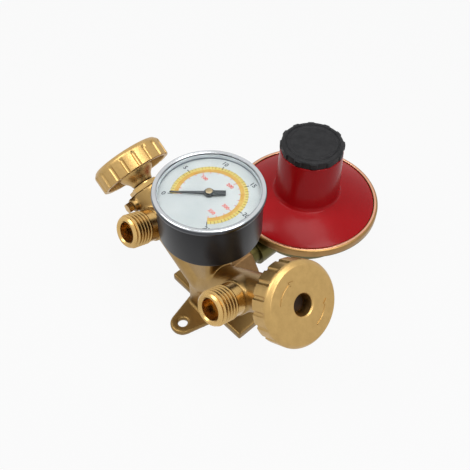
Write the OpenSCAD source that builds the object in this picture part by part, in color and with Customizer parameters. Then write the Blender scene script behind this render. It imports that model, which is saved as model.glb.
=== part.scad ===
// Two-cylinder gas change-over manifold for a wall: a cast brass body with two tilted shut-off valves,
// two threaded inlets, a pressure gauge and a diaphragm regulator. Millimetres.
// The wall is the plane z = 0, +Z points away from it, +Y is up on the wall, and the gauge axis is x = y = 0.

/* [Wall plate] */
// Length of the wall plate
plate_l = 69; // [60:1:80]
// Thickness of the wall plate
plate_t = 6; // [4:0.5:8]
// Edge of the plate on the lug side
plate_front = -8; // [-12:0.5:-6]
// Edge of the plate on the regulator side
plate_back = 14; // [11:0.5:20]
// Centre of the lug hole
lug_y = -28; // [-36:0.5:-24]
// Radius of the lug's round end
lug_r = 8.5; // [7:0.25:10]
// Thickness of the lug
lug_t = 4; // [3:0.25:5]
// Radius of the lug hole
lug_hole_r = 3.4; // [2.5:0.1:4.2]

/* [Casting] */
// Plane in which both valve axes lie
valve_y = -4; // [-6:0.5:-2]
// Height at which the valve axes meet
hub_z = 31; // [30:0.5:34]
// Rise of each valve axis away from the wall
valve_tilt = 35; // [32:0.5:37]
// Radius of a valve arm
arm_r = 12; // [11:0.25:13]
// Length of a valve arm from the point where the axes meet
arm_l = 72; // [71:0.5:74]
// Radius of the valve chamber
chamber_r = 8.5; // [8:0.1:9]
// Width of the column that carries the gauge
column_w = 24; // [22:0.5:26]
// Depth of the column that carries the gauge
column_d = 22; // [20:0.5:24]
// Height of the column above the wall
column_z = 71; // [68:0.5:73]
// Height of the regulator connection above the wall
outlet_z = 24; // [22:0.5:25]
// Radius of the main gas passage
passage_r = 3.5; // [2.5:0.1:4]

/* [Inlets] */
// Distance from the end of a valve arm back to the inlet
inlet_back = 24.4; // [22:0.2:26]
// Rise of the inlets away from the wall
inlet_tilt = 20; // [14:0.5:24]
// Outer radius of the inlet thread
inlet_r = 10.9; // [10:0.05:11]
// Radius of the inlet bore
inlet_bore_r = 6.7; // [5:0.1:7]
// Depth of the inlet bore
inlet_bore_l = 11.5; // [10:0.5:13]
// Radius of the throat behind the inlet bore
inlet_throat_r = 3.5; // [3:0.1:4]
// Distance from the valve axis to the mouth of the inlet
inlet_l = 34.3; // [32:0.1:38]
// Length of the inlet thread
inlet_thread_l = 14.5; // [11:0.5:16]

/* [Valves] */
// Distance along the axis to the valve seat
seat_s = 34; // [32:0.5:35]
// Radius of the valve spindle
spindle_r = 5; // [4.5:0.1:5.5]
// Across-flats size of the bonnet hexagon
bonnet_af = 20; // [18:0.5:22]

/* [Handwheels] */
// Outer radius of the handwheel
wheel_r = 24.5; // [22:0.25:26]
// Height of the handwheel rim
wheel_h = 14; // [12:0.5:15]
// Wall of the handwheel
wheel_wall = 3; // [2.5:0.25:3.5]
// Radius of the screw recess in the handwheel
wheel_hole_r = 6.2; // [5.5:0.1:6.6]
// Number of finger flutes round the rim
flutes = 18; // [12:1:24]

/* [Gauge] */
// Outer radius of the gauge case
case_r = 31.2; // [30:0.1:32]
// Overhang of the bezel beyond the case
bezel_over = 1.8; // [1.4:0.1:2.4]
// Height of the case below the bezel
case_h = 29; // [27:0.5:31]
// Height of the bezel
bezel_h = 3.5; // [3:0.25:5]
// Wall of the gauge case
case_wall = 1.2; // [0.8:0.1:1.6]
// Across-flats size of the gauge connection
socket_af = 17; // [14:0.5:19]
// Length of the gauge connection hexagon
socket_h = 8.5; // [7:0.5:11]

/* [Regulator] */
// Distance from the gauge axis to the regulator axis
reg_y = 89.5; // [87:0.5:94]
// Outer radius of the crimped rim
rim_r = 51; // [50:0.25:53]
// Height of the top of the crimped rim above the wall
rim_z = 43.6; // [42.6:0.2:46]
// Height of the crimped rim
rim_h = 7; // [6:0.25:7.5]
// Rise of the cover from its rim to the tower
cover_rise = 8.5; // [6:0.5:11]
// Radius of the tower at its foot
tower_foot_r = 22.6; // [21.5:0.1:24]
// Radius of the tower at its top
tower_top_r = 20.9; // [20:0.1:21.4]
// Height of the tower's top above the wall
tower_z = 88.5; // [86:0.5:92]
// Wall of the pressed cover
cover_wall = 2; // [1.5:0.1:2.5]
// Radius of the cap over its ribs
cap_r = 21.3; // [20.5:0.1:22]
// Height of the cap above the tower
cap_h = 5.5; // [4:0.25:8]
// Number of grip ribs on the cap
cap_ribs = 12; // [8:1:18]
// Depth of the lower body below the rim
bowl_depth = 26; // [24:0.5:28]
// Across-flats size of the union nut
nut_af = 30; // [27:0.5:32]

/* [Hidden] */
$fn = 64;
// Radial clearance of a running fit, gap between neighbouring moving pieces, and overlap of fused forms
slip = 0.05;
gap = 0.3;
weld = 0.5;

// Column and passages
column_y = -2;
column_corner = 4;
gauge_port_r = 6;
gauge_port_depth = 11;
outlet_boss_r = 11;
outlet_boss_y = 19;
lug_root = plate_front + 3;
lug_root_half = 15;

// Place of the inlet along the valve axis, then its pieces as distances along the inlet axis
inlet_s = arm_l - inlet_back;
inlet_boss_r = 11.2;
inlet_boss_l = 14.6;
inlet_spigot_r = 8;
inlet_spigot_l = 4.5;
inlet_neck_r = inlet_r - 1.5;
inlet_thread_s = inlet_l - inlet_thread_l;
inlet_chamfer = 1.1;

// Valve pieces, as distances along the valve axis
seat_ring_r = 5.6;
chamber_s = seat_s - 4;
disc_r = 6.2;
disc_t = 2.5;
disc_s = seat_s + slip;
plug_r = chamber_r - 1;
plug_lip = 1;
plug_s = disc_s + disc_t - plug_lip;
plug_l = 12;
plug_top = plug_s + plug_l;
swivel_r = 3;
swivel_l = 7;
bonnet_shank_l = 13;
bonnet_foot = arm_l - bonnet_shank_l;
bonnet_hex_h = 2.6;
bonnet_collar_r = 8.6;
bonnet_collar_h = 0.8;
bonnet_top = arm_l + bonnet_hex_h + bonnet_collar_h;
seal_h = 2.6;
seal_wall = 2;
seal_s = arm_l - 4;
wheel_gap = 0.6;
wheel_hub_s = bonnet_top + wheel_gap;
wheel_hub_l = 21.2;
wheel_face_s = wheel_hub_s + wheel_hub_l;
wheel_back_s = wheel_face_s - wheel_h;
wheel_hub_tip_r = 7;
wheel_hub_neck_r = 8;
wheel_hub_neck_l = 3;
wheel_hub_flare_r = 12.2;
wheel_hub_r = 13;
wheel_edge = 2.2;
wheel_crown = 1.2;
recess_h = 9.2;
recess_s = wheel_face_s - recess_h;
square_w = 6;
square_fit = 0.1;
screw_head_r = 4.7;
screw_head_h = 2.8;
screw_shank_r = 1.9;
screw_shank_l = 7;
flute_r = 2.6;
flute_depth = 1;
lock_s = arm_l - 5;
lock_boss_r = 4.6;
lock_boss_y = arm_r + 3.5;
lock_af = 6;
lock_head_h = 3.5;
lock_shank_r = 2;
right_lock_turn = 120;

// Gauge levels above the wall
washer_t = 1.4;
socket_z = column_z + washer_t;
case_z = socket_z + socket_h;
bezel_r = case_r + bezel_over;
bezel_z = case_z + case_h;
bezel_top = bezel_z + bezel_h;
bezel_lip = 3.2;
bezel_lip_t = 0.8;
bezel_wall = bezel_over - slip;
lens_t = 1.2;
lens_z = bezel_top - bezel_lip_t - lens_t;
dial_t = 0.8;
dial_r = case_r - case_wall - slip;
dial_drop = 4;
dial_z = lens_z - dial_drop;
dial_shelf = 2;
arbor_r = 0.9;
needle_gap = 1;
needle_z = dial_z + dial_t + needle_gap;
needle_t = 0.7;
needle_reach = 22.5;
needle_tail = 9.5;
needle_tail_w = 3.4;
needle_w = 2;
needle_tip_w = 0.5;
hub_r = 2.3;
hub_h = 1.8;
hub_plate = 0.8;
// The needle rests on the zero mark
needle_zero = 225;
plate_gap = 7;
frame_t = 1;
frame_r = 11;
frame_drop = 3;
frame_lo = dial_z - frame_drop - 2 * frame_t - plate_gap;
frame_hi = frame_lo + frame_t + plate_gap;
post_r = 1.2;
pinion_teeth = 12;
gear_module = 0.3;
sector_teeth_full = 96;
pinion_r = gear_module * pinion_teeth / 2;
sector_r = gear_module * sector_teeth_full / 2;
sector_t = 1;
sector_lift = 3;
sector_z = frame_lo + frame_t + sector_lift;
sector_arm_w = 3;
needle_sweep = 270;
sector_swing = needle_sweep * pinion_teeth / sector_teeth_full;
sector_spare = 6;
sector_half = sector_swing / 2 + sector_spare;
mesh_gap = 0.15;
sector_pivot_r = 1;
tube_r = 20;
tube_w = 2.6;
tube_h = 7;
tube_lift = 3;
tube_z = case_z + case_wall + tube_lift;
block_w = 11;
block_h = frame_lo - case_z - case_wall;

// Regulator levels above the wall
rim_lip = 3;
rim_skin = 1.3;
flange_t = 2;
diaphragm_t = 1.2;
rim_foot = rim_z - rim_h;
flange_top = rim_z - rim_skin;
flange_z = flange_top - flange_t;
diaphragm_z = flange_z - diaphragm_t;
seat_in_r = rim_r - rim_skin;
cover_r = rim_r - rim_lip;
foot_z = rim_z + cover_rise;
rim_edge = 1.1;
rim_round = 3;
rim_ledge = 8;
bowl_wall = 3;
bowl_foot_r = 36;
bowl_round = 6;
bowl_draft = 3;
bowl_flare = 5;
bowl_z = rim_z - bowl_depth - rim_h;
dish_edge = 1;
dish_swell = 1;
dish_seat = 6;
foot_round = 4;
foot_drop = 1.2;
foot_lift = 2.4;
neck_r = 10;
neck_y = 38;
tail_bore_r = 4.6;
port_r = 10;
port_y = reg_y + bowl_foot_r - 4;
port_end = port_y + 9.5;
nipple_foot = 1;
nipple_af = 17;
nipple_hex_h = 3;
nipple_thread_r = 6.6;
nipple_bore_r = 4.5;
nipple_end = reg_y + rim_r + 4;
plate_r = 30;
dplate_t = 1.5;
spring_r = 13;
spring_wire = 2.4;
spring_turns = 5.5;
adjuster_t = 6;
adjuster_r = tower_top_r - cover_wall - 0.5;
adjuster_drop = 13;
adjuster_z = tower_z - adjuster_drop;
spring_foot = diaphragm_z + diaphragm_t + dplate_t;
screw_r = 5;
screw_tail = 5;
screw_end = adjuster_z - screw_tail;
cap_plug_r = tower_top_r - cover_wall - gap;
cap_plug_h = 3;
cap_recess = 0.8;
cap_edge = 1.6;
cap_lip = 1.5;
cap_lip_slope = 0.5;
rib_r = 1.7;
rib_h = 0.8;
nozzle_r = 3;
nozzle_bore_r = 1.6;
nozzle_l = 8;
nozzle_seat_l = 12;
nozzle_seat_r = 6;
nozzle_step = 2;
nozzle_back = 24;
nozzle_y = reg_y - nozzle_back;
pad_lift = 0.6;
pad_t = 4;
pad_r = 4;
pad_y = nozzle_y + pad_lift + slip;
pin_r = 1.25;
pin_l = 14;
lever_t = 4;
lever_w = 5;
lever_nose = 1;
nose_y = pad_y + pad_t + slip;
pin_y = nose_y + lever_nose + lever_t / 2;
lever_half = 7;
pin_z = outlet_z - lever_half;
arm_top = outlet_z + lever_half;
post_top = 3;
post_w = 3;
post_d = 6;
stem_r = 2.2;

// Union, as places along Y
tail_flange_r = 10.2;
tail_flange_t = 3;
gasket_t = 1.6;
gasket_y = outlet_boss_y;
tail_y = gasket_y + gasket_t;
nut_reach = 9;
nut_y = outlet_boss_y - nut_reach;
nut_l = 18;
nut_thread_r = outlet_boss_r + slip;
tail_r = 7.6;

SIDES = [["left", -1], ["right", 1]];

// Local frames: +Z runs out along the valve axis, or out of the inlet's mouth
module side_frame(side) { mirror([side < 0 ? 1 : 0, 0, 0]) children(); }
module valve_frame(side) {
    side_frame(side) translate([0, valve_y, hub_z]) rotate([0, 90 - valve_tilt, 0]) children();
}
module inlet_frame(side) {
    side_frame(side)
        translate([inlet_s * cos(valve_tilt), valve_y, hub_z + inlet_s * sin(valve_tilt)])
            rotate([90 - inlet_tilt, 0, 0]) children();
}
module lock_frame(side) {
    turn = side < 0 ? 0 : right_lock_turn;
    valve_frame(side) translate([0, 0, lock_s]) rotate([90, 0, turn]) children();
}
module along_y(y) { translate([0, y, outlet_z]) rotate([-90, 0, 0]) children(); }
module at_regulator(z) { translate([0, reg_y, z]) children(); }

// Plain shapes that several pieces share
module ring(r_out, r_in, h) {
    difference() {
        cylinder(r = r_out, h = h);
        translate([0, 0, -weld]) cylinder(r = r_in, h = h + 2 * weld);
    }
}
module hexagon(af, h) { cylinder(r = af / sqrt(3), h = h, $fn = 6); }
module rounded_rect(w, d, r) {
    union() {
        square([w, d - 2 * r], center = true);
        square([w - 2 * r, d], center = true);
        for (x = [-1, 1], y = [-1, 1]) translate([x * (w / 2 - r), y * (d / 2 - r)]) circle(r);
    }
}

// Casting: wall plate with lug, column, two arms with inlet bosses, and the regulator boss
module lug_outline() {
    tangent = asin((lug_root_half - lug_r) / (lug_root - lug_y));
    union() {
        translate([0, lug_y]) circle(lug_r);
        polygon([[-lug_root_half, lug_root], [-lug_r * cos(tangent), lug_y - lug_r * sin(tangent)],
                 [lug_r * cos(tangent), lug_y - lug_r * sin(tangent)], [lug_root_half, lug_root]]);
    }
}
module casting_solid() {
    translate([-plate_l / 2, plate_front, 0]) cube([plate_l, plate_back - plate_front, plate_t]);
    linear_extrude(lug_t) lug_outline();
    translate([0, column_y, 0]) linear_extrude(column_z) rounded_rect(column_w, column_d, column_corner);
    along_y(0) cylinder(r = outlet_boss_r, h = outlet_boss_y);
    for (s = SIDES) {
        valve_frame(s[1]) cylinder(r = arm_r, h = arm_l);
        inlet_frame(s[1]) cylinder(r = inlet_boss_r, h = inlet_boss_l);
        lock_frame(s[1]) cylinder(r = lock_boss_r, h = lock_boss_y);
    }
}
module manifold_body() {
    color("peru") difference() {
        casting_solid();
        translate([0, lug_y, -weld]) cylinder(r = lug_hole_r, h = lug_t + 2 * weld);
        translate([0, 0, outlet_z]) cylinder(r = passage_r, h = column_z);
        translate([0, 0, column_z - gauge_port_depth]) cylinder(r = gauge_port_r + slip, h = column_z);
        along_y(0) cylinder(r = passage_r, h = outlet_boss_y + weld);
        for (s = SIDES) {
            valve_frame(s[1]) cylinder(r = passage_r, h = arm_l);
            valve_frame(s[1]) translate([0, 0, seat_s]) cylinder(r = chamber_r, h = arm_l);
            valve_frame(s[1]) translate([0, 0, chamber_s]) ring(chamber_r, seat_ring_r, arm_l);
            inlet_frame(s[1]) cylinder(r = inlet_throat_r, h = inlet_l);
            inlet_frame(s[1]) translate([0, 0, inlet_boss_l - inlet_spigot_l])
                cylinder(r = inlet_spigot_r + slip, h = inlet_l);
            lock_frame(s[1]) cylinder(r = lock_shank_r + slip, h = arm_r * 2);
        }
    }
}

// Turned inlet with its outer thread left plain, a neck and a spigot in the casting
module inlet(side) {
    bore_floor = inlet_l - inlet_bore_l;
    color("goldenrod") inlet_frame(side) rotate_extrude() polygon([
        [inlet_throat_r, inlet_boss_l - inlet_spigot_l], [inlet_spigot_r, inlet_boss_l - inlet_spigot_l],
        [inlet_spigot_r, inlet_boss_l], [inlet_neck_r, inlet_boss_l], [inlet_neck_r, inlet_thread_s],
        [inlet_r, inlet_thread_s + inlet_r - inlet_neck_r], [inlet_r, inlet_l - inlet_chamfer],
        [inlet_r - inlet_chamfer, inlet_l], [inlet_bore_r + inlet_chamfer, inlet_l],
        [inlet_bore_r, inlet_l - inlet_chamfer], [inlet_bore_r, bore_floor], [inlet_throat_r, bore_floor]]);
}

// Shut-off valve
module bonnet(side) {
    color("darkgoldenrod") valve_frame(side) difference() {
        union() {
            translate([0, 0, bonnet_foot]) cylinder(r = chamber_r - slip, h = bonnet_shank_l);
            translate([0, 0, arm_l]) hexagon(bonnet_af, bonnet_hex_h);
            translate([0, 0, arm_l]) cylinder(r = bonnet_collar_r, h = bonnet_top - arm_l);
        }
        translate([0, 0, bonnet_foot - weld]) cylinder(r = spindle_r + slip, h = bonnet_top);
        translate([0, 0, seal_s]) cylinder(r = spindle_r + seal_wall, h = seal_h);
    }
}
module stem_seal(side) {
    color("black") valve_frame(side) translate([0, 0, seal_s])
        ring(spindle_r + seal_wall, spindle_r + slip, seal_h);
}
module spindle(side) {
    color("gold") valve_frame(side) difference() {
        union() {
            translate([0, 0, plug_top - swivel_l + gap]) cylinder(r = swivel_r, h = swivel_l);
            translate([0, 0, plug_top + slip]) cylinder(r = spindle_r, h = wheel_hub_s - plug_top - slip);
            translate([-square_w / 2, -square_w / 2, wheel_hub_s - weld])
                cube([square_w, square_w, recess_s - wheel_hub_s + weld]);
        }
        translate([0, 0, recess_s - screw_shank_l])
            cylinder(r = screw_shank_r + slip, h = screw_shank_l + weld);
    }
}
module handwheel(side) {
    inner_r = wheel_r - wheel_wall;
    web_s = wheel_face_s - wheel_wall;
    square_hole = square_w + square_fit;
    color("darkkhaki") valve_frame(side) difference() {
        rotate_extrude() polygon([
            [0, wheel_hub_s], [wheel_hub_tip_r, wheel_hub_s],
            [wheel_hub_neck_r, wheel_hub_s + wheel_hub_neck_l],
            [wheel_hub_flare_r, wheel_back_s], [wheel_hub_r, web_s], [inner_r - wheel_edge, web_s],
            [inner_r, web_s - wheel_edge], [inner_r, wheel_back_s], [wheel_r - wheel_crown, wheel_back_s],
            [wheel_r, wheel_back_s + wheel_edge], [wheel_r, wheel_face_s - wheel_edge - wheel_crown],
            [wheel_r - wheel_crown, wheel_face_s - wheel_crown],
            [wheel_r - wheel_edge - wheel_crown, wheel_face_s],
            [0, wheel_face_s]]);
        translate([0, 0, recess_s]) cylinder(r = wheel_hole_r, h = wheel_face_s);
        translate([-square_hole / 2, -square_hole / 2, wheel_hub_s - weld])
            cube([square_hole, square_hole, wheel_face_s]);
        translate([0, 0, wheel_back_s - weld]) linear_extrude(wheel_h - wheel_crown - wheel_edge)
            for (i = [0 : flutes - 1])
                rotate(i * 360 / flutes) translate([wheel_r + flute_r - flute_depth, 0])
                    circle(flute_r, $fn = 24);
    }
}
module wheel_screw(side) {
    color("dimgray") valve_frame(side) {
        translate([0, 0, recess_s]) cylinder(r = screw_head_r, h = screw_head_h);
        translate([0, 0, recess_s - screw_shank_l]) cylinder(r = screw_shank_r, h = screw_shank_l + weld);
    }
}
module valve_plug(side) {
    color("gold") valve_frame(side) difference() {
        translate([0, 0, plug_s]) cylinder(r = plug_r, h = plug_l);
        translate([0, 0, plug_s - weld]) cylinder(r = disc_r, h = plug_lip + weld);
        translate([0, 0, plug_top - swivel_l]) cylinder(r = swivel_r + slip, h = swivel_l + weld);
    }
}
module seat_disc(side) {
    color("black") valve_frame(side) translate([0, 0, disc_s]) cylinder(r = disc_r, h = disc_t);
}
module lock_screw(side) {
    color("goldenrod") lock_frame(side) {
        translate([0, 0, lock_boss_y]) hexagon(lock_af, lock_head_h);
        translate([0, 0, chamber_r + gap]) cylinder(r = lock_shank_r, h = lock_boss_y - chamber_r);
    }
}

// Pressure gauge
module gauge_washer() {
    color("black") translate([0, 0, column_z]) ring(socket_af / 2, gauge_port_r + slip, washer_t);
}
module gauge_socket() {
    block_z = case_z + case_wall;
    color("goldenrod") difference() {
        union() {
            translate([0, 0, column_z - gauge_port_depth + 1])
                cylinder(r = gauge_port_r, h = gauge_port_depth + socket_h);
            translate([0, 0, socket_z]) hexagon(socket_af, socket_h);
            translate([0, 0, socket_z]) cylinder(r = gauge_port_r, h = block_z - socket_z + weld);
            translate([-block_w / 2, -block_w / 2, block_z]) cube([block_w, block_w, block_h]);
        }
        translate([0, 0, column_z - gauge_port_depth])
            cylinder(r = passage_r / 2, h = gauge_port_depth + socket_h);
    }
}
module gauge_case() {
    color("#26282d") difference() {
        translate([0, 0, case_z]) cylinder(r = case_r, h = lens_z - case_z);
        translate([0, 0, case_z + case_wall])
            cylinder(r = case_r - case_wall, h = dial_z - dial_shelf - case_z - case_wall);
        translate([0, 0, case_z + case_wall]) cylinder(r = case_r - case_wall - dial_shelf, h = bezel_top);
        translate([0, 0, dial_z]) cylinder(r = case_r - case_wall, h = bezel_top);
        translate([0, 0, case_z - weld]) cylinder(r = gauge_port_r + slip, h = case_wall + 2 * weld);
    }
}
module gauge_bezel() {
    lip_z = lens_z + lens_t;
    color("silver") rotate_extrude() polygon([
        [case_r + slip, bezel_z], [bezel_r - bezel_wall / 2, bezel_z], [bezel_r, bezel_z + bezel_wall / 2],
        [bezel_r, bezel_top - bezel_wall], [bezel_r - bezel_wall, bezel_top],
        [bezel_r - bezel_lip + bezel_wall / 2, bezel_top], [bezel_r - bezel_lip, lip_z],
        [case_r + slip, lip_z]]);
}
module gauge_lens() { color("aliceblue", 0.35) translate([0, 0, lens_z]) cylinder(r = case_r, h = lens_t); }
module gauge_dial() { color("white") translate([0, 0, dial_z]) ring(dial_r, arbor_r + gap, dial_t); }
module gauge_needle() {
    color("#202020") {
        translate([0, 0, needle_z]) rotate(needle_zero) linear_extrude(needle_t) union() {
            polygon([[0, -needle_w / 2], [needle_reach, -needle_tip_w / 2], [needle_reach, needle_tip_w / 2],
                     [0, needle_w / 2]]);
            translate([-needle_tail, -needle_tail_w / 2]) square([needle_tail, needle_tail_w]);
            circle(hub_r + hub_plate);
        }
        translate([0, 0, needle_z]) cylinder(r = hub_r, h = hub_h);
        translate([0, 0, frame_lo + slip]) cylinder(r = arbor_r, h = needle_z - frame_lo);
        translate([0, 0, sector_z]) linear_extrude(sector_t) gear_outline(pinion_teeth, pinion_r - mesh_gap);
    }
}
// Straight-sided teeth on a round blank
module gear_outline(teeth, pitch_r) {
    root = pitch_r - 1.1 * gear_module;
    tip = pitch_r + gear_module;
    step = 360 / teeth;
    polygon([for (i = [0 : teeth - 1], k = [[root, -0.32], [tip, -0.12], [tip, 0.12], [root, 0.32]])
        k[0] * [cos((i + k[1]) * step), sin((i + k[1]) * step)]]);
}
module movement_frame() {
    pivot = pinion_r + sector_r;
    color("khaki") difference() {
        union() {
            for (z = [frame_lo, frame_hi]) translate([0, 0, z]) linear_extrude(frame_t) frame_outline(pivot);
            for (a = [110, -110]) rotate(a) translate([frame_r - 2 * post_r, 0, frame_lo])
                cylinder(r = post_r, h = frame_hi + frame_t - frame_lo);
            translate([pivot, 0, frame_lo]) cylinder(r = sector_pivot_r, h = frame_hi - frame_lo + frame_t);
        }
        translate([0, 0, frame_lo - weld]) cylinder(r = arbor_r + slip, h = plate_gap + 4 * frame_t);
    }
}
module frame_outline(pivot) {
    union() {
        circle(frame_r);
        translate([0, -frame_r / 2]) square([pivot, frame_r]);
        translate([pivot, 0]) circle(frame_r / 2);
    }
}
module sector_gear() {
    pivot = pinion_r + sector_r;
    half_step = 180 / sector_teeth_full;
    color("gold") translate([pivot, 0, sector_z]) difference() {
        linear_extrude(sector_t) union() {
            intersection() {
                rotate(180 + half_step) gear_outline(sector_teeth_full, sector_r - mesh_gap);
                rotate(-sector_swing / 2)
                    polygon([[0, 0], [-2 * sector_r, -2 * sector_r * tan(sector_half)],
                             [-2 * sector_r, 2 * sector_r * tan(sector_half)]]);
            }
            circle(sector_arm_w);
        }
        translate([0, 0, -weld]) cylinder(r = sector_pivot_r + slip, h = sector_t + 2 * weld);
    }
}
module bourdon_tube() {
    sweep = 250;
    color("burlywood") translate([0, 0, tube_z]) {
        rotate(90) rotate_extrude(angle = sweep) translate([tube_r - tube_w / 2, 0]) square([tube_w, tube_h]);
        translate([-tube_w, block_w / 2, 0]) cube([tube_w, tube_r - block_w / 2 + tube_w / 2, tube_h]);
    }
}

// Union between the casting and the regulator
module union_gasket() {
    color("black") along_y(gasket_y) ring(tail_flange_r, tail_bore_r, gasket_t);
}
module union_nut() {
    inner_end = tail_y + tail_flange_t - nut_y;
    color("goldenrod") along_y(nut_y) difference() {
        hexagon(nut_af, nut_l);
        translate([0, 0, -weld]) cylinder(r = nut_thread_r, h = inner_end + weld);
        translate([0, 0, -weld]) cylinder(r = tail_r + slip, h = nut_l + 2 * weld);
    }
}

// Regulator
module regulator_body() {
    floor_z = bowl_z + bowl_wall;
    inner_r = bowl_foot_r - bowl_wall - 1;
    nozzle_seat_y = nozzle_y - nozzle_seat_l - nozzle_step;
    color("darkkhaki") difference() {
        union() {
            at_regulator(0) rotate_extrude() polygon([
                [0, bowl_z], [bowl_foot_r - bowl_round, bowl_z], [bowl_foot_r, bowl_z + bowl_round],
                [bowl_foot_r + bowl_draft, rim_foot - bowl_flare], [rim_r - rim_round, rim_foot],
                [rim_r, rim_foot + rim_edge], [rim_r, rim_z - rim_edge], [rim_r - rim_edge, rim_z],
                [cover_r, rim_z], [cover_r, flange_top], [seat_in_r, flange_top], [seat_in_r, diaphragm_z],
                [rim_r - rim_ledge, diaphragm_z], [rim_r - rim_ledge, rim_foot - rim_edge],
                [inner_r + bowl_draft, rim_foot - bowl_flare], [inner_r, floor_z], [0, floor_z]]);
            along_y(tail_y) cylinder(r = tail_flange_r, h = tail_flange_t);
            along_y(tail_y) cylinder(r = tail_r, h = neck_y - tail_y + weld);
            along_y(neck_y) cylinder(r = neck_r, h = nozzle_y - neck_y - nozzle_l / 2);
            along_y(nozzle_seat_y) cylinder(r = nozzle_seat_r, h = nozzle_seat_l);
            along_y(port_y) cylinder(r = port_r, h = port_end - port_y);
            lever_posts();
        }
        along_y(tail_y - weld) cylinder(r = tail_bore_r, h = nozzle_y - nozzle_seat_l - tail_y + weld);
        along_y(nozzle_seat_y) cylinder(r = nozzle_r + slip, h = nozzle_y - nozzle_seat_y);
        along_y(reg_y + inner_r - weld) cylinder(r = nipple_thread_r + slip, h = bowl_foot_r);
    }
}
module lever_posts() {
    foot = bowl_z + bowl_wall / 2;
    for (x = [-1, 1]) translate([x * (lever_w / 2 + gap + post_w / 2), pin_y, 0]) difference() {
        translate([-post_w / 2, -post_d / 2, foot]) cube([post_w, post_d, pin_z + post_top - foot]);
        translate([0, 0, pin_z]) rotate([0, 90, 0]) cylinder(r = pin_r + slip, h = 2 * post_w, center = true);
    }
}
// Turned hexagon nipple, screwed in the bowl, that carries the hose nut
module regulator_outlet() {
    foot_y = port_y + nipple_foot;
    color("goldenrod") difference() {
        union() {
            along_y(foot_y) cylinder(r = nipple_thread_r, h = nipple_end - foot_y);
            along_y(port_end) hexagon(nipple_af, nipple_hex_h);
        }
        along_y(foot_y - weld) cylinder(r = nipple_bore_r, h = nipple_end - foot_y + 2 * weld);
    }
}
// Pressed cover: a slightly domed dish with a flange in the rim, and a tapered tower for the spring
module regulator_cover() {
    dish_foot = [cover_r - dish_edge, rim_z + slip];
    dish_top = [tower_foot_r + foot_round, foot_z - foot_drop];
    color("firebrick") at_regulator(0) difference() {
        rotate_extrude() polygon([
            [0, flange_z], [seat_in_r - slip, flange_z], [seat_in_r - slip, flange_top],
            [cover_r - slip, flange_top], dish_foot, (dish_foot + dish_top) / 2 + [0, dish_swell], dish_top,
            [tower_foot_r + foot_drop, foot_z], [tower_foot_r, foot_z + foot_lift], [tower_top_r, tower_z],
            [0, tower_z]]);
        rotate_extrude() polygon([
            [0, flange_z - weld], [cover_r - dish_seat, flange_z - weld],
            [cover_r - dish_seat, flange_z + dish_edge], dish_top - [dish_edge, cover_wall],
            [tower_foot_r - cover_wall, foot_z], [tower_top_r - cover_wall, tower_z + weld],
            [0, tower_z + weld]]);
    }
}
module diaphragm() {
    color("dimgray") at_regulator(diaphragm_z) ring(seat_in_r - slip, stem_r + slip, diaphragm_t);
}
module diaphragm_plate() {
    color("silver") at_regulator(0) {
        translate([0, 0, diaphragm_z + diaphragm_t]) cylinder(r = plate_r, h = dplate_t);
        translate([0, 0, arm_top + slip]) cylinder(r = stem_r, h = diaphragm_z + diaphragm_t - arm_top);
    }
}
module inlet_nozzle() {
    color("goldenrod") along_y(nozzle_y - nozzle_l) ring(nozzle_r, nozzle_bore_r, nozzle_l);
}
module valve_pad() { color("black") along_y(pad_y) cylinder(r = pad_r, h = pad_t); }
// Bell-crank that turns on its lower end: a nose on its side meets the pad, and its arm carries the stem
module valve_lever() {
    heel_y = nose_y + lever_nose;
    foot = pin_z - lever_t / 2;
    color("silver") difference() {
        union() {
            translate([-lever_w / 2, heel_y, foot]) cube([lever_w, lever_t, arm_top - foot]);
            translate([-lever_w / 2, heel_y, arm_top - lever_t])
                cube([lever_w, reg_y + stem_r - heel_y, lever_t]);
            translate([0, heel_y, outlet_z]) rotate([0, 90, 0])
                cylinder(r = lever_nose, h = lever_w, center = true);
        }
        translate([0, pin_y, pin_z]) rotate([0, 90, 0])
            cylinder(r = pin_r + slip, h = 2 * lever_w, center = true);
    }
}
module lever_pin() {
    color("silver") translate([0, pin_y, pin_z]) rotate([0, 90, 0])
        cylinder(r = pin_r, h = pin_l, center = true);
}
// Round wire swept along a helix, ring by ring
module coil(coil_r, wire_r, length, turns) {
    sides = 8;
    rings = ceil(turns * 14);
    points = [for (i = [0 : rings], k = [0 : sides - 1])
        let (a = 360 * turns * i / rings, t = 360 * k / sides, r = coil_r + wire_r * cos(t))
        [r * cos(a), r * sin(a), wire_r + (length - 2 * wire_r) * i / rings + wire_r * sin(t)]];
    side_faces = [for (i = [0 : rings - 1], k = [0 : sides - 1])
        let (a = i * sides + k, b = i * sides + (k + 1) % sides)
        each [[a, a + sides, b], [b, a + sides, b + sides]]];
    ends = [[for (k = [0 : sides - 1]) k], [for (k = [sides - 1 : -1 : 0]) rings * sides + k]];
    polyhedron(points, concat(side_faces, ends));
}
module regulator_spring() {
    color("lightgray") at_regulator(spring_foot + slip)
        coil(spring_r, spring_wire / 2, adjuster_z - spring_foot - 2 * slip, spring_turns);
}
module spring_adjuster() {
    color("ivory") at_regulator(adjuster_z) difference() {
        cylinder(r = adjuster_r, h = adjuster_t);
        translate([0, 0, -weld]) cylinder(r = screw_r + slip, h = adjuster_t + 2 * weld);
    }
}
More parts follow.
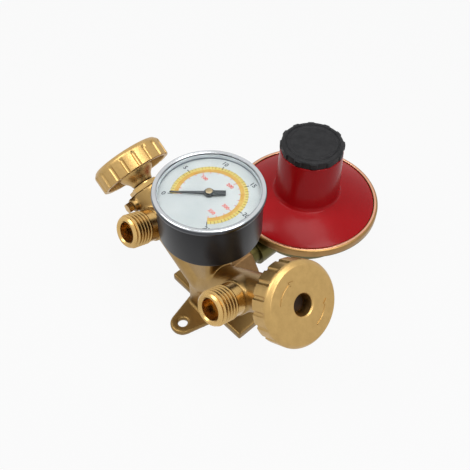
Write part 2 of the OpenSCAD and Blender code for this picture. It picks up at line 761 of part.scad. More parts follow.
module regulator_cap() {
    side_r = cap_r - rib_h;
    foot_z = tower_z + gap;
    top_z = foot_z + cap_h;
    face_r = side_r - cap_edge;
    color("#1c1c1e") at_regulator(0) {
        rotate_extrude() polygon([
            [0, foot_z], [side_r, foot_z], [side_r, top_z - cap_edge], [face_r, top_z],
            [face_r - cap_lip, top_z], [face_r - cap_lip - cap_lip_slope, top_z - cap_recess],
            [0, top_z - cap_recess]]);
        translate([0, 0, foot_z]) linear_extrude(cap_h - cap_edge)
            for (i = [0 : cap_ribs - 1])
                rotate((i + 0.5) * 360 / cap_ribs) translate([cap_r - rib_r, 0]) circle(rib_r, $fn = 24);
        translate([0, 0, tower_z - cap_plug_h]) cylinder(r = cap_plug_r, h = cap_plug_h + gap + weld);
        translate([0, 0, screw_end]) cylinder(r = screw_r, h = tower_z - screw_end);
    }
}

manifold_body();
for (s = SIDES) {
    inlet(s[1]);
    bonnet(s[1]);
    stem_seal(s[1]);
    spindle(s[1]);
    handwheel(s[1]);
    wheel_screw(s[1]);
    valve_plug(s[1]);
    seat_disc(s[1]);
    lock_screw(s[1]);
}
gauge_washer();
gauge_socket();
gauge_case();
gauge_bezel();
gauge_lens();
gauge_dial();
gauge_needle();
movement_frame();
sector_gear();
bourdon_tube();
union_gasket();
union_nut();
regulator_body();
regulator_outlet();
regulator_cover();
diaphragm();
diaphragm_plate();
inlet_nozzle();
valve_pad();
valve_lever();
lever_pin();
regulator_spring();
spring_adjuster();
regulator_cap();
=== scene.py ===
"""Looks of a two-cylinder gas change-over manifold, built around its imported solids."""
import math

import bmesh
import bpy
from mathutils import Matrix, Vector


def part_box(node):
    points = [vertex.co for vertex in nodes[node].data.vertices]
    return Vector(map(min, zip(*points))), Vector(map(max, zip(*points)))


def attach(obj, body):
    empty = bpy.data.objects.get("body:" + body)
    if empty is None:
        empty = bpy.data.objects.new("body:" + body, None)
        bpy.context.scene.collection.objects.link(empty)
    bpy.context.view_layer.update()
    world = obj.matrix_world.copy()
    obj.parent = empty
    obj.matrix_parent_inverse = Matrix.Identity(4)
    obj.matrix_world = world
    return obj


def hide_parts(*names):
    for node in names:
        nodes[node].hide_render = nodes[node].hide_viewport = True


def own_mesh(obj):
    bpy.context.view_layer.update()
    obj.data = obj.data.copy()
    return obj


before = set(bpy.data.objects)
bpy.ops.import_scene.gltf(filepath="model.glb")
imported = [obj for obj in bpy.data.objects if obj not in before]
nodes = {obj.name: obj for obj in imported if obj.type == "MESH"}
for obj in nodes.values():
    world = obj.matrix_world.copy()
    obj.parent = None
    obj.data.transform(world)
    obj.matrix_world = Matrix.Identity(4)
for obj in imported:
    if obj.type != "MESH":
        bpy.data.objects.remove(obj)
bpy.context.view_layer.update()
scene = bpy.context.scene
scene.view_settings.view_transform = "Standard"

# Camera: it looks down at the wall side from the front right, about 50 degrees above the wall plane,
# the way the product lies on a table for its picture. Sizes are in millimetres all through the file.
MM = 0.001
PHOTO_SIDE = 470
FOCAL_PIXELS = 623.4
CAMERA_AZIMUTH = math.radians(46.7)
CAMERA_ELEVATION = math.radians(49.72)
CAMERA_ROLL = math.radians(0.29)
CAMERA_DISTANCE = 412.4
CAMERA_TARGET = Vector((-3.83, 23.98, 50))
CAMERA_NEAR = 10
camera_back = Vector((math.sin(CAMERA_AZIMUTH) * math.cos(CAMERA_ELEVATION),
                      -math.cos(CAMERA_AZIMUTH) * math.cos(CAMERA_ELEVATION),
                      math.sin(CAMERA_ELEVATION)))
camera_right = Vector((math.cos(CAMERA_AZIMUTH), math.sin(CAMERA_AZIMUTH), 0))
camera_up = camera_back.cross(camera_right)
camera_lens = bpy.data.cameras.new("photo_camera")
camera_lens.sensor_fit = "HORIZONTAL"
camera_lens.lens = FOCAL_PIXELS / PHOTO_SIDE * camera_lens.sensor_width
camera_lens.clip_start = CAMERA_NEAR * MM
camera = bpy.data.objects.new("photo_camera", camera_lens)
scene.collection.objects.link(camera)
camera_turn = Matrix((camera_right, camera_up, camera_back)).transposed().to_4x4()
camera_place = Matrix.Translation((CAMERA_TARGET + camera_back * CAMERA_DISTANCE) * MM)
camera.matrix_world = camera_place @ camera_turn @ Matrix.Rotation(CAMERA_ROLL, 4, "Z")
scene.camera = camera

# Studio: a white table that keeps a soft shadow, soft boxes high on the left, on the right and
# straight above the red cover, and an even pale room. A soft box is given as place, side and power.
FLOOR_SIDE = 6000
FLOOR_CELLS = 4
FLOOR_GAP = 0.4
FLOOR_WHITE = (0.48, 0.48, 0.48, 1)
FLOOR_ROUGHNESS = 0.9
FLOOR_SHEEN = 0.1
FLOOR_GLOW = 0.92
ROOM_LIGHT = (0.20, 0.21, 0.225, 1)
ROOM_WHITE = (1, 1, 1, 1)
SOFT_BOXES = {
    "left_soft_box": ((-330, -330, 840), 420, 3.0),
    "right_soft_box": ((420, 40, 780), 420, 3.3),
    "top_soft_box": ((10, 150, 960), 420, 2.2),
}


def new_finish(name):
    """A node material with its tree and its Principled shader."""
    finish = bpy.data.materials.new(name)
    finish.use_nodes = True
    return finish, finish.node_tree, finish.node_tree.nodes["Principled BSDF"]


def joined(tree, operation, first, second):
    """A Math node on two sockets, or on a socket and a number."""
    sums = tree.nodes.new("ShaderNodeMath")
    sums.operation = operation
    for place, value in enumerate((first, second)):
        if isinstance(value, (int, float)):
            sums.inputs[place].default_value = value
        else:
            tree.links.new(value, sums.inputs[place])
    return sums.outputs[0]


def blended(tree, share, colour_a, colour_b):
    """A colour that goes from one to the other with a socket's value."""
    mix = tree.nodes.new("ShaderNodeMix")
    mix.data_type = "RGBA"
    tree.links.new(share, mix.inputs["Factor"])
    for label, colour in (("A", colour_a), ("B", colour_b)):
        if isinstance(colour, tuple):
            mix.inputs[label].default_value = colour
        else:
            tree.links.new(colour, mix.inputs[label])
    return mix.outputs["Result"]


def seen_white(tree):
    """Value that is 1 for what the camera, a reflection or a view through glass shows."""
    path = tree.nodes.new("ShaderNodeLightPath")
    seen = joined(tree, "MAXIMUM", path.outputs["Is Camera Ray"], path.outputs["Is Glossy Ray"])
    return joined(tree, "MAXIMUM", seen, path.outputs["Is Transmission Ray"])


room = bpy.data.worlds.new("pale_room")
room.use_nodes = True
room_tree = room.node_tree
room_colour = blended(room_tree, seen_white(room_tree), ROOM_LIGHT, ROOM_WHITE)
room_tree.links.new(room_colour, room_tree.nodes["Background"].inputs["Color"])
scene.world = room

floor_bm = bmesh.new()
bmesh.ops.create_grid(floor_bm, x_segments=FLOOR_CELLS, y_segments=FLOOR_CELLS, size=FLOOR_SIDE / 2 * MM,
                      matrix=Matrix.Translation((0, 0, -FLOOR_GAP * MM)))
floor_mesh = bpy.data.meshes.new("table")
floor_bm.to_mesh(floor_mesh)
floor_bm.free()
table_white, floor_tree, floor_shader = new_finish("table_white")
floor_shader.inputs["Base Color"].default_value = FLOOR_WHITE
floor_shader.inputs["Roughness"].default_value = FLOOR_ROUGHNESS
floor_shader.inputs["Specular IOR Level"].default_value = FLOOR_SHEEN
floor_glow = floor_tree.nodes.new("ShaderNodeEmission")
floor_mix = floor_tree.nodes.new("ShaderNodeMixShader")
floor_share = joined(floor_tree, "MULTIPLY", seen_white(floor_tree), FLOOR_GLOW)
floor_tree.links.new(floor_share, floor_mix.inputs["Fac"])
floor_tree.links.new(floor_shader.outputs[0], floor_mix.inputs[1])
floor_tree.links.new(floor_glow.outputs[0], floor_mix.inputs[2])
floor_tree.links.new(floor_mix.outputs[0], floor_tree.nodes["Material Output"].inputs["Surface"])
floor_mesh.materials.append(table_white)
floor = bpy.data.objects.new("table", floor_mesh)
scene.collection.objects.link(floor)

for lamp_name, (lamp_place, lamp_side, lamp_power) in SOFT_BOXES.items():
    lamp_data = bpy.data.lights.new(lamp_name, "AREA")
    lamp_data.shape = "SQUARE"
    lamp_data.size = lamp_side * MM
    lamp_data.energy = lamp_power
    lamp = bpy.data.objects.new(lamp_name, lamp_data)
    scene.collection.objects.link(lamp)
    lamp_at = Vector(lamp_place)
    lamp_turn = (lamp_at - CAMERA_TARGET).to_track_quat("Z", "Y")
    lamp.matrix_world = Matrix.Translation(lamp_at * MM) @ lamp_turn.to_matrix().to_4x4()

# Casting: the body is one sand casting in brass, with a wall foot and lug, a column, two arms and
# their bosses. It is tumbled, so its corners are soft and its skin is evenly grained.
CAST_VOXEL = 0.75
CAST_SMOOTH_PASSES = 7
CAST_SMOOTH_SHARE = 0.5
CAST_BRASS = (0.41, 0.265, 0.100, 1)
CAST_BRASS_DARK = (0.13, 0.068, 0.020, 1)
# Painted shade: the foot and lug turn darker towards the wall, where they lie in shade.
CAST_FOOT_SHADE = (0.235, 0.145, 0.050, 1)
CAST_FOOT_LOW = 5
CAST_FOOT_HIGH = 22
SKIN_DETAIL = 4.0
SKIN_ROUGHNESS = 0.6
GRAIN_RANGE = (0.3, 0.7)
STAIN_RANGE = (0.35, 0.7)
# Painted shade in hollows and under other parts: its occlusion range, its samples and its darkest share.
CREVICE_RANGE = (0.25, 0.8)
CREVICE_SAMPLES = 6
CREVICE_SHADE_SHARE = 0.8
METAL_BUMP = 0.6
SOLID_WELD = 1e-6


def shader_group(name, inputs, outputs):
    """An empty shader node group with float inputs and outputs, and its two end nodes."""
    tree = bpy.data.node_groups.new(name, "ShaderNodeTree")
    for label, value in inputs.items():
        socket = tree.interface.new_socket(label, in_out="INPUT", socket_type="NodeSocketFloat")
        socket.default_value = value
    for label in outputs:
        tree.interface.new_socket(label, in_out="OUTPUT", socket_type="NodeSocketFloat")
    return tree, tree.nodes.new("NodeGroupInput"), tree.nodes.new("NodeGroupOutput")


def noise(tree, scale, detail=3.0, roughness=0.55):
    """A noise texture on Object coordinates; scale is per metre, a number or a socket."""
    place = tree.nodes.new("ShaderNodeTexCoord")
    texture = tree.nodes.new("ShaderNodeTexNoise")
    texture.inputs["Detail"].default_value = detail
    texture.inputs["Roughness"].default_value = roughness
    tree.links.new(place.outputs["Object"], texture.inputs["Vector"])
    if isinstance(scale, (int, float)):
        texture.inputs["Scale"].default_value = scale
    else:
        tree.links.new(scale, texture.inputs["Scale"])
    return texture.outputs["Fac"]


def ranged(tree, value, low, high, to_low=0.0, to_high=1.0):
    """A clamped Map Range node on a socket."""
    fit = tree.nodes.new("ShaderNodeMapRange")
    fit.inputs["From Min"].default_value = low
    fit.inputs["From Max"].default_value = high
    fit.inputs["To Min"].default_value = to_low
    fit.inputs["To Max"].default_value = to_high
    tree.links.new(value, fit.inputs["Value"])
    return fit.outputs["Result"]


grain_group, grain_in, grain_out = shader_group(
    "metal_skin", {"Grain Scale": 1400.0, "Stain Scale": 60.0, "Shade Reach": 0.006},
    ("Height", "Stain", "Painted Shade"))
grain_fine = noise(grain_group, grain_in.outputs["Grain Scale"], SKIN_DETAIL, SKIN_ROUGHNESS)
grain_group.links.new(grain_fine, grain_out.inputs["Height"])
grain_stain = noise(grain_group, grain_in.outputs["Stain Scale"], SKIN_DETAIL, SKIN_ROUGHNESS)
grain_group.links.new(ranged(grain_group, grain_stain, *STAIN_RANGE), grain_out.inputs["Stain"])
# Painted shade: an occlusion mask darkens hollows and what lies under other parts.
crevice_occlusion = grain_group.nodes.new("ShaderNodeAmbientOcclusion")
crevice_occlusion.samples = CREVICE_SAMPLES
grain_group.links.new(grain_in.outputs["Shade Reach"], crevice_occlusion.inputs["Distance"])
crevice_shade = ranged(grain_group, crevice_occlusion.outputs["AO"], *CREVICE_RANGE, to_low=1.0, to_high=0.0)
grain_group.links.new(crevice_shade, grain_out.inputs["Painted Shade"])


def skinned(tree, grain_scale, stain_scale):
    """The shared skin group with a finish's own scales, per metre."""
    skin = tree.nodes.new("ShaderNodeGroup")
    skin.node_tree = grain_group
    skin.inputs["Grain Scale"].default_value = grain_scale
    skin.inputs["Stain Scale"].default_value = stain_scale
    return skin


def bumped(tree, shader, height, strength, distance):
    """Feeds a height socket to the shader's Normal; distance in millimetres."""
    bump = tree.nodes.new("ShaderNodeBump")
    bump.inputs["Strength"].default_value = strength
    bump.inputs["Distance"].default_value = distance * MM
    tree.links.new(height, bump.inputs["Height"])
    tree.links.new(bump.outputs["Normal"], shader.inputs["Normal"])


def metal_finish(name, colour, dark, rough, grain_scale, bump_depth,
                 stain_scale=60.0, shade_reach=6.0, stain=0.35):
    """Metal with fine grain, stains and painted shade in its hollows and under other parts; rough is
    (smoothest, roughest), and the shade's reach is in mm.
    """
    finish, tree, shader = new_finish(name)
    skin = skinned(tree, grain_scale, stain_scale)
    skin.inputs["Shade Reach"].default_value = shade_reach * MM
    stained = joined(tree, "MULTIPLY", skin.outputs["Stain"], stain)
    # Painted shade in hollows, mixed with the stains into the base colour.
    painted_shade = joined(tree, "MULTIPLY", skin.outputs["Painted Shade"], CREVICE_SHADE_SHARE)
    share = joined(tree, "MAXIMUM", stained, painted_shade)
    tree.links.new(blended(tree, share, colour, dark), shader.inputs["Base Color"])
    roughness = ranged(tree, skin.outputs["Height"], *GRAIN_RANGE, *rough)
    tree.links.new(roughness, shader.inputs["Roughness"])
    shader.inputs["Metallic"].default_value = 1.0
    bumped(tree, shader, skin.outputs["Height"], METAL_BUMP, bump_depth)
    return finish


def tone_by_height(finish, low, high, low_colour):
    """Paints another colour over a finish below a height over the wall, as painted shade; heights in
    millimetres.
    """
    tree = finish.node_tree
    base = tree.nodes["Principled BSDF"].inputs["Base Color"]
    height = tree.nodes.new("ShaderNodeSeparateXYZ")
    tree.links.new(tree.nodes.new("ShaderNodeTexCoord").outputs["Object"], height.inputs[0])
    share = ranged(tree, height.outputs["Z"], low * MM, high * MM)
    tree.links.new(blended(tree, share, low_colour, base.links[0].from_socket), base)


cast_brass = metal_finish("cast_brass", CAST_BRASS, CAST_BRASS_DARK, rough=(0.28, 0.48),
                          grain_scale=1500.0, bump_depth=0.14, shade_reach=16.0)
# Painted shade, low on the foot and lug.
tone_by_height(cast_brass, CAST_FOOT_LOW, CAST_FOOT_HIGH, CAST_FOOT_SHADE)


def to_piece(name, bm, finish, body, replaced=(), sharp_angle=38):
    """Makes the finished mesh, in millimetres until now, a piece on its body."""
    bmesh.ops.transform(bm, matrix=Matrix.Scale(MM, 4), verts=bm.verts)
    mesh = bpy.data.meshes.new(name)
    bm.to_mesh(mesh)
    bm.free()
    mesh.materials.append(finish)
    mesh.shade_smooth()
    mesh.set_sharp_from_angle(angle=math.radians(sharp_angle))
    piece = bpy.data.objects.new(name, mesh)
    scene.collection.objects.link(piece)
    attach(piece, body)
    if replaced:
        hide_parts(*replaced)
    return piece


def node_copy(node):
    """A merged copy of a node's mesh, in millimetres."""
    bm = bmesh.new()
    bm.from_mesh(nodes[node].data)
    bmesh.ops.remove_doubles(bm, verts=bm.verts, dist=SOLID_WELD)
    bmesh.ops.transform(bm, matrix=Matrix.Scale(1 / MM, 4), verts=bm.verts)
    return bm


def taken_mesh(holder):
    """The finished mesh of a helper object, which is then removed."""
    depsgraph = bpy.context.evaluated_depsgraph_get()
    mesh = bpy.data.meshes.new_from_object(holder.evaluated_get(depsgraph))
    bpy.data.objects.remove(holder)
    return mesh


def cast_copy(node, voxel, passes):
    """A node's shape with the softened corners of a casting, in millimetres."""
    bm = node_copy(node)
    mesh = bpy.data.meshes.new(node + "_blank")
    bm.to_mesh(mesh)
    bm.free()
    blank = bpy.data.objects.new(node + "_blank", mesh)
    scene.collection.objects.link(blank)
    remesh = blank.modifiers.new("skin", "REMESH")
    remesh.mode = "VOXEL"
    remesh.voxel_size = voxel
    bm = bmesh.new()
    bm.from_mesh(taken_mesh(blank))
    for _ in range(passes):
        bmesh.ops.smooth_vert(bm, verts=bm.verts, factor=CAST_SMOOTH_SHARE,
                              use_axis_x=True, use_axis_y=True, use_axis_z=True)
    return bm


casting_bm = cast_copy("manifold_body", CAST_VOXEL, CAST_SMOOTH_PASSES)
to_piece("casting", casting_bm, cast_brass, "manifold", ("manifold_body",), sharp_angle=80)


def dress(names, finish):
    """Gives CAD nodes that keep their own shape a finish."""
    for name in names:
        slots = nodes[name].data.materials
        slots.clear()
        slots.append(finish)


# Inlets: two turned brass connectors with a pipe thread, a relief neck and a chamfered mouth.
# Their spigots are set in the casting's bosses, and they point away from the regulator.
TURNED_BRASS = (0.64, 0.415, 0.155, 1)
TURNED_BRASS_DARK = (0.16, 0.098, 0.038, 1)
INLET_ALONG_VALVE = 47.6
INLET_RISE = math.radians(20)
INLET_R = 10.9
INLET_BORE_R = 6.7
INLET_BORE_FLOOR = 22.8
INLET_THROAT_R = 3.5
INLET_NECK_R = 10.3
INLET_SPIGOT_R = 8
INLET_LENGTH = 34.3
INLET_BOSS_L = 14.6
INLET_SPIGOT_L = 4.5
INLET_THREAD_L = 13.7
INLET_FACE_R = 9.1
INLET_BORE_CHAMFER = 0.9
INLET_PITCH = 2.309
THREAD_DEPTH = 1.35
# Corners of one ridge: the share of the pitch, and how far below the outer radius
THREAD_RIDGE = ((0.12, THREAD_DEPTH), (0.48, 0), (0.64, 0), (1, THREAD_DEPTH))
VALVE_RISE = math.radians(35)
VALVE_CENTRE = Vector((0, -4, 31))
SIDES = {"left": -1, "right": 1}
ROUND_SEGMENTS = 4
SHAPE_WELD = 1e-4

turned_brass = metal_finish("turned_brass", TURNED_BRASS, TURNED_BRASS_DARK, rough=(0.22, 0.32),
                            grain_scale=2600.0, bump_depth=0.02, shade_reach=3.0)


def lathe(profile, steps=96, closed=False):
    """A turned shape about Z from corners (radius, height) or (radius, height, rounding)."""
    bm = bmesh.new()
    corners = [bm.verts.new((corner[0], 0, corner[1])) for corner in profile]
    pairs = list(zip(corners, corners[1:]))
    if closed:
        pairs.append((corners[-1], corners[0]))
    for pair in pairs:
        bm.edges.new(pair)
    for corner, given in zip(corners, profile):
        if len(given) == 3:
            bmesh.ops.bevel(bm, geom=[corner], offset=given[2], offset_type="OFFSET", affect="VERTICES",
                            segments=ROUND_SEGMENTS, profile=0.5, material=-1)
    bmesh.ops.spin(bm, geom=bm.verts[:] + bm.edges[:], cent=(0, 0, 0), axis=(0, 0, 1),
                   angle=math.tau, steps=steps, use_merge=True)
    bmesh.ops.remove_doubles(bm, verts=bm.verts, dist=SHAPE_WELD)
    bmesh.ops.recalc_face_normals(bm, faces=bm.faces)
    return bm


def placed(bm, matrix):
    """Moves a rigid shape to its place in the assembly."""
    bmesh.ops.transform(bm, matrix=matrix, verts=bm.verts)
    return bm


def valve_place(side):
    """From a shape along +Z to one along that side's valve axis."""
    return Matrix.Translation(VALVE_CENTRE) @ Matrix.Rotation(side * (math.pi / 2 - VALVE_RISE), 4, "Y")


def inlet_place(side):
    """From a shape along +Z to one along that side's inlet axis."""
    reach = Vector((side * math.cos(VALVE_RISE), 0, math.sin(VALVE_RISE))) * INLET_ALONG_VALVE
    return Matrix.Translation(VALVE_CENTRE + reach) @ Matrix.Rotation(math.pi / 2 - INLET_RISE, 4, "X")


def thread_corners(radius, start, end, pitch, face_r):
    """Outer profile of a thread that runs out on the chamfer at its end, where the face has face_r."""
    corners = []
    for turn in range(math.ceil((end - start) / pitch)):
        for share, drop in THREAD_RIDGE:
            along = start + (turn + share) * pitch
            if along < end:
                corners.append((min(radius - drop, face_r + end - along), along))
    return corners


inlet_thread_foot = INLET_LENGTH - INLET_THREAD_L
inlet_profile = [
    (INLET_THROAT_R, INLET_BOSS_L - INLET_SPIGOT_L), (INLET_SPIGOT_R, INLET_BOSS_L - INLET_SPIGOT_L),
    (INLET_SPIGOT_R, INLET_BOSS_L), (INLET_NECK_R, INLET_BOSS_L), (INLET_NECK_R, inlet_thread_foot)]
inlet_profile += thread_corners(INLET_R, inlet_thread_foot, INLET_LENGTH, INLET_PITCH, INLET_FACE_R)
inlet_profile += [
    (INLET_FACE_R, INLET_LENGTH), (INLET_BORE_R + INLET_BORE_CHAMFER, INLET_LENGTH),
    (INLET_BORE_R, INLET_LENGTH - INLET_BORE_CHAMFER),
    (INLET_BORE_R, INLET_BORE_FLOOR), (INLET_THROAT_R, INLET_BORE_FLOOR)]
for side_name, side in SIDES.items():
    inlet_bm = placed(lathe(inlet_profile, closed=True), inlet_place(side))
    to_piece(side_name + "_inlet_thread", inlet_bm, turned_brass, "manifold",
             (side_name + "_inlet",), sharp_angle=25)

# Valves: turned brass bonnets, spindles, plugs and lock screws, with black rubber seals.
# The bonnet screws into the arm, and the plug swivels on the spindle's end.
RUBBER = (0.018, 0.018, 0.019, 1)
RUBBER_GREY = (0.045, 0.045, 0.046, 1)
STEEL = (0.52, 0.53, 0.55, 1)
STEEL_DARK = (0.22, 0.22, 0.24, 1)
BLACK_STEEL = (0.045, 0.032, 0.026, 1)
BLACK_STEEL_DARK = (0.014, 0.010, 0.008, 1)
COATED_BUMP = 0.5
VALVE_TURNED = ("bonnet", "spindle", "valve_plug", "lock_screw")
VALVE_RUBBER = ("stem_seal", "seat_disc")


def coated_finish(name, colour, worn, rough, grain_scale, bump_depth, stain_scale=45.0, sheen=0.5):
    """Paint, plastic or rubber: a mottled colour with a fine surface; rough is (smoothest, roughest)."""
    finish, tree, shader = new_finish(name)
    skin = skinned(tree, grain_scale, stain_scale)
    tree.links.new(blended(tree, skin.outputs["Stain"], colour, worn), shader.inputs["Base Color"])
    roughness = ranged(tree, skin.outputs["Height"], *GRAIN_RANGE, *rough)
    tree.links.new(roughness, shader.inputs["Roughness"])
    shader.inputs["Specular IOR Level"].default_value = sheen
    bumped(tree, shader, skin.outputs["Height"], COATED_BUMP, bump_depth)
    return finish


rubber = coated_finish("rubber", RUBBER, RUBBER_GREY, rough=(0.5, 0.7),
                       grain_scale=2200.0, bump_depth=0.04)
steel = metal_finish("steel", STEEL, STEEL_DARK, rough=(0.24, 0.36), grain_scale=2400.0, bump_depth=0.02)
black_steel = metal_finish("black_steel", BLACK_STEEL, BLACK_STEEL_DARK, rough=(0.4, 0.55),
                           grain_scale=2400.0, bump_depth=0.03)
for side_name in SIDES:
    dress([side_name + "_" + piece for piece in VALVE_TURNED], turned_brass)
    dress([side_name + "_" + piece for piece in VALVE_RUBBER], rubber)
    dress([side_name + "_wheel_screw"], black_steel)

# Handwheels: two brass castings with a flat face, a deep skirt with wide finger lobes and a conical
# hub. A black screw in the deep centre hole holds each one on the square of its spindle.
WHEEL_BRASS = (0.53, 0.345, 0.130, 1)
WHEEL_BRASS_DARK = (0.22, 0.125, 0.038, 1)
WHEEL_FACE = 97.2
WHEEL_R = 24.5
WHEEL_BACK = 83.2
WHEEL_WALL = 3
WHEEL_HOLE_R = 6.2
WHEEL_HOLE_FLOOR = 88
WHEEL_HOLE_CHAMFER = 0.7
WHEEL_HOLE_CHAMFER_L = 0.8
WHEEL_HUB_FOOT = 76
WHEEL_HUB_TIP_R = 7
WHEEL_HUB_NECK_R = 8
WHEEL_HUB_NECK_L = 3
WHEEL_HUB_FLARE_R = 12.2
WHEEL_HUB_R = 13
WHEEL_SPINDLE_R = 3.6
WHEEL_SHOULDER_IN = 0.4
WHEEL_SHOULDER_L = 2.0
WHEEL_CHAMFER = 2.3
SKIRT_BAND = 1.1
SKIRT_BANDS = 10
FLUTES = 18
FLUTE_STEPS = 18
FLUTE_SHARE = 0.30
FLUTE_DEPTH = 1.0
FLUTE_FADE = 1.4
FLUTE_TOP = 94.2
FLUTE_WALL = 0.6
MARK_R = 15.5
MARK_HALF_WIDTH = 0.55
MARK_CROWN_SHARE = 0.6
MARK_HEIGHT = 0.35
MARK_ROOT = 0.2
MARK_SPAN = math.radians(46)
MARK_STEPS = 16
MARK_HEAD = 2.1
MARK_HEAD_HALF_SHARE = 0.7
MARK_HEAD_LENGTH_SHARE = 1.5
MARK_ANGLES = {"open": math.radians(35), "close": math.radians(215)}

wheel_brass = metal_finish("wheel_brass", WHEEL_BRASS, WHEEL_BRASS_DARK, rough=(0.30, 0.48),
                           grain_scale=1300.0, bump_depth=0.10,
                           stain_scale=260.0, shade_reach=9.0, stain=0.2)
wheel_inner = WHEEL_R - WHEEL_WALL
wheel_web = WHEEL_FACE - WHEEL_WALL
wheel_profile = [
    (WHEEL_SPINDLE_R, WHEEL_HUB_FOOT), (WHEEL_HUB_TIP_R, WHEEL_HUB_FOOT, 0.5),
    (WHEEL_HUB_NECK_R, WHEEL_HUB_FOOT + WHEEL_HUB_NECK_L, 1.2), (WHEEL_HUB_FLARE_R, WHEEL_BACK, 2.0),
    (WHEEL_HUB_R, wheel_web, 1.4), (wheel_inner, wheel_web, 2.4),
    (wheel_inner, WHEEL_BACK, 0.5), (WHEEL_R, WHEEL_BACK, 0.8)]
wheel_profile += [(WHEEL_R, WHEEL_BACK + SKIRT_BAND * band) for band in range(1, SKIRT_BANDS + 1)]
wheel_profile += [
    (WHEEL_R - WHEEL_SHOULDER_IN, WHEEL_FACE - WHEEL_SHOULDER_L, 0.4),
    (WHEEL_R - WHEEL_CHAMFER, WHEEL_FACE, 0.45),
    (WHEEL_HOLE_R + WHEEL_HOLE_CHAMFER, WHEEL_FACE, 0.4),
    (WHEEL_HOLE_R, WHEEL_FACE - WHEEL_HOLE_CHAMFER_L, 0.3),
    (WHEEL_HOLE_R, WHEEL_HOLE_FLOOR), (WHEEL_SPINDLE_R, WHEEL_HOLE_FLOOR)]


def flute_cut(wheel_bm):
    """Presses the narrow flutes between the finger lobes into the skirt."""
    for vert in wheel_bm.verts:
        radius = math.hypot(vert.co.x, vert.co.y)
        if radius < wheel_inner + FLUTE_WALL:
            continue
        turn = (math.atan2(vert.co.y, vert.co.x) / math.tau * FLUTES) % 1.0
        across = min(abs(turn - 0.5) / (FLUTE_SHARE / 2), 1.0)
        dip = math.sqrt(1 - across * across)
        reach = min(max((FLUTE_TOP - vert.co.z) / FLUTE_FADE, 0.0), 1.0)
        shrink = (radius - FLUTE_DEPTH * dip * reach) / radius
        vert.co.x *= shrink
        vert.co.y *= shrink


def swept(bm, corners, angle, steps, start):
    """Closes a section of corners and sweeps it about Z, from the start angle on."""
    section = bm.faces.new(corners)
    bmesh.ops.spin(bm, geom=[section, *section.edges, *section.verts], cent=(0, 0, 0), axis=(0, 0, 1),
                   angle=angle, steps=steps)
    bmesh.ops.holes_fill(bm, edges=[edge for edge in bm.edges if edge.is_boundary])
    bmesh.ops.rotate(bm, verts=bm.verts, cent=(0, 0, 0), matrix=Matrix.Rotation(start, 3, "Z"))


def curved_arrow(middle, clockwise):
    """A raised arrow that bends round the wheel's face."""
    bm = bmesh.new()
    begin = middle - MARK_SPAN / 2
    corners = [bm.verts.new((MARK_R + MARK_HALF_WIDTH * across, 0, WHEEL_FACE + up))
               for across, up in ((-1, -MARK_ROOT), (1, -MARK_ROOT),
                                  (MARK_CROWN_SHARE, MARK_HEIGHT), (-MARK_CROWN_SHARE, MARK_HEIGHT))]
    swept(bm, corners, MARK_SPAN, MARK_STEPS, begin)
    tip_angle = begin if clockwise else begin + MARK_SPAN
    way = -1 if clockwise else 1
    outward = Vector((math.cos(tip_angle), math.sin(tip_angle), 0))
    along = Vector((-outward.y, outward.x, 0)) * way
    root = outward * MARK_R + Vector((0, 0, WHEEL_FACE - MARK_ROOT))
    head = [bm.verts.new(root + outward * MARK_HEAD * MARK_HEAD_HALF_SHARE),
            bm.verts.new(root - outward * MARK_HEAD * MARK_HEAD_HALF_SHARE),
            bm.verts.new(root + along * MARK_HEAD * MARK_HEAD_LENGTH_SHARE)]
    head_face = bm.faces.new(head)
    raised = bmesh.ops.extrude_face_region(bm, geom=[head_face])["geom"]
    bmesh.ops.translate(bm, vec=(0, 0, MARK_HEIGHT + MARK_ROOT),
                        verts=[part for part in raised if isinstance(part, bmesh.types.BMVert)])
    bmesh.ops.remove_doubles(bm, verts=bm.verts, dist=SHAPE_WELD)
    bmesh.ops.recalc_face_normals(bm, faces=bm.faces)
    return bm


for side_name, side in SIDES.items():
    wheel_body = side_name + "_wheel"
    wheel_bm = lathe(wheel_profile, steps=FLUTES * FLUTE_STEPS, closed=True)
    flute_cut(wheel_bm)
    placed(wheel_bm, valve_place(side))
    to_piece(side_name + "_wheel_casting", wheel_bm, wheel_brass, wheel_body,
             (side_name + "_handwheel",), sharp_angle=50)
    for mark, mark_angle in MARK_ANGLES.items():
        arrow_bm = placed(curved_arrow(mark_angle, mark == "close"), valve_place(side))
        to_piece(side_name + "_" + mark + "_arrow", arrow_bm, wheel_brass, wheel_body)

# Gauge: a pressed steel case in satin black paint, a chromed bezel that snaps over it, a clear lens
# and a white dial. Inside, a brass movement and a curved tube turn the needle.
CASE_PAINT = (0.010, 0.010, 0.012, 1)
CASE_PAINT_WORN = (0.016, 0.016, 0.019, 1)
CHROME = (0.60, 0.62, 0.64, 1)
CHROME_DARK = (0.42, 0.44, 0.46, 1)
# Painted dark reflection: below the crown the bezel's side is darkened, as it mirrors dark surroundings.
CHROME_SIDE_SHADE = (0.070, 0.073, 0.080, 1)
CROWN_LOW = 112.55
CROWN_HIGH = 113.0
CASE_R = 31.2
CASE_FOOT = 80.9
CASE_WALL = 1.2
GAUGE_PORT_R = 6.05
LENS_TINT = (0.96, 0.98, 0.99, 1)
LENS_IOR = 1.2
LENS_HAZE = (0.0, 0.03)
LENS_HAZE_SCALE = 120.0
LENS_FOOT = 111.4
LENS_TOP = 112.6
LENS_SIDE_GAP = 0.1
BEZEL_R = 33
BEZEL_FOOT = 109.9
BEZEL_TOP = 113.4
BEZEL_OPENING_R = 29.8
BEZEL_SIDE_GAP = 0.05
BEZEL_FOOT_IN = 0.3
BEZEL_FOOT_L = 0.9
BEZEL_CROWN_L = 1.3
BEZEL_CROWN_OUTER = 1.0
BEZEL_CROWN_INNER = 1.9
BEZEL_CROWN_DIP = 0.3
BEZEL_LIP = 0.2
TOUCH_GAP = 0.02

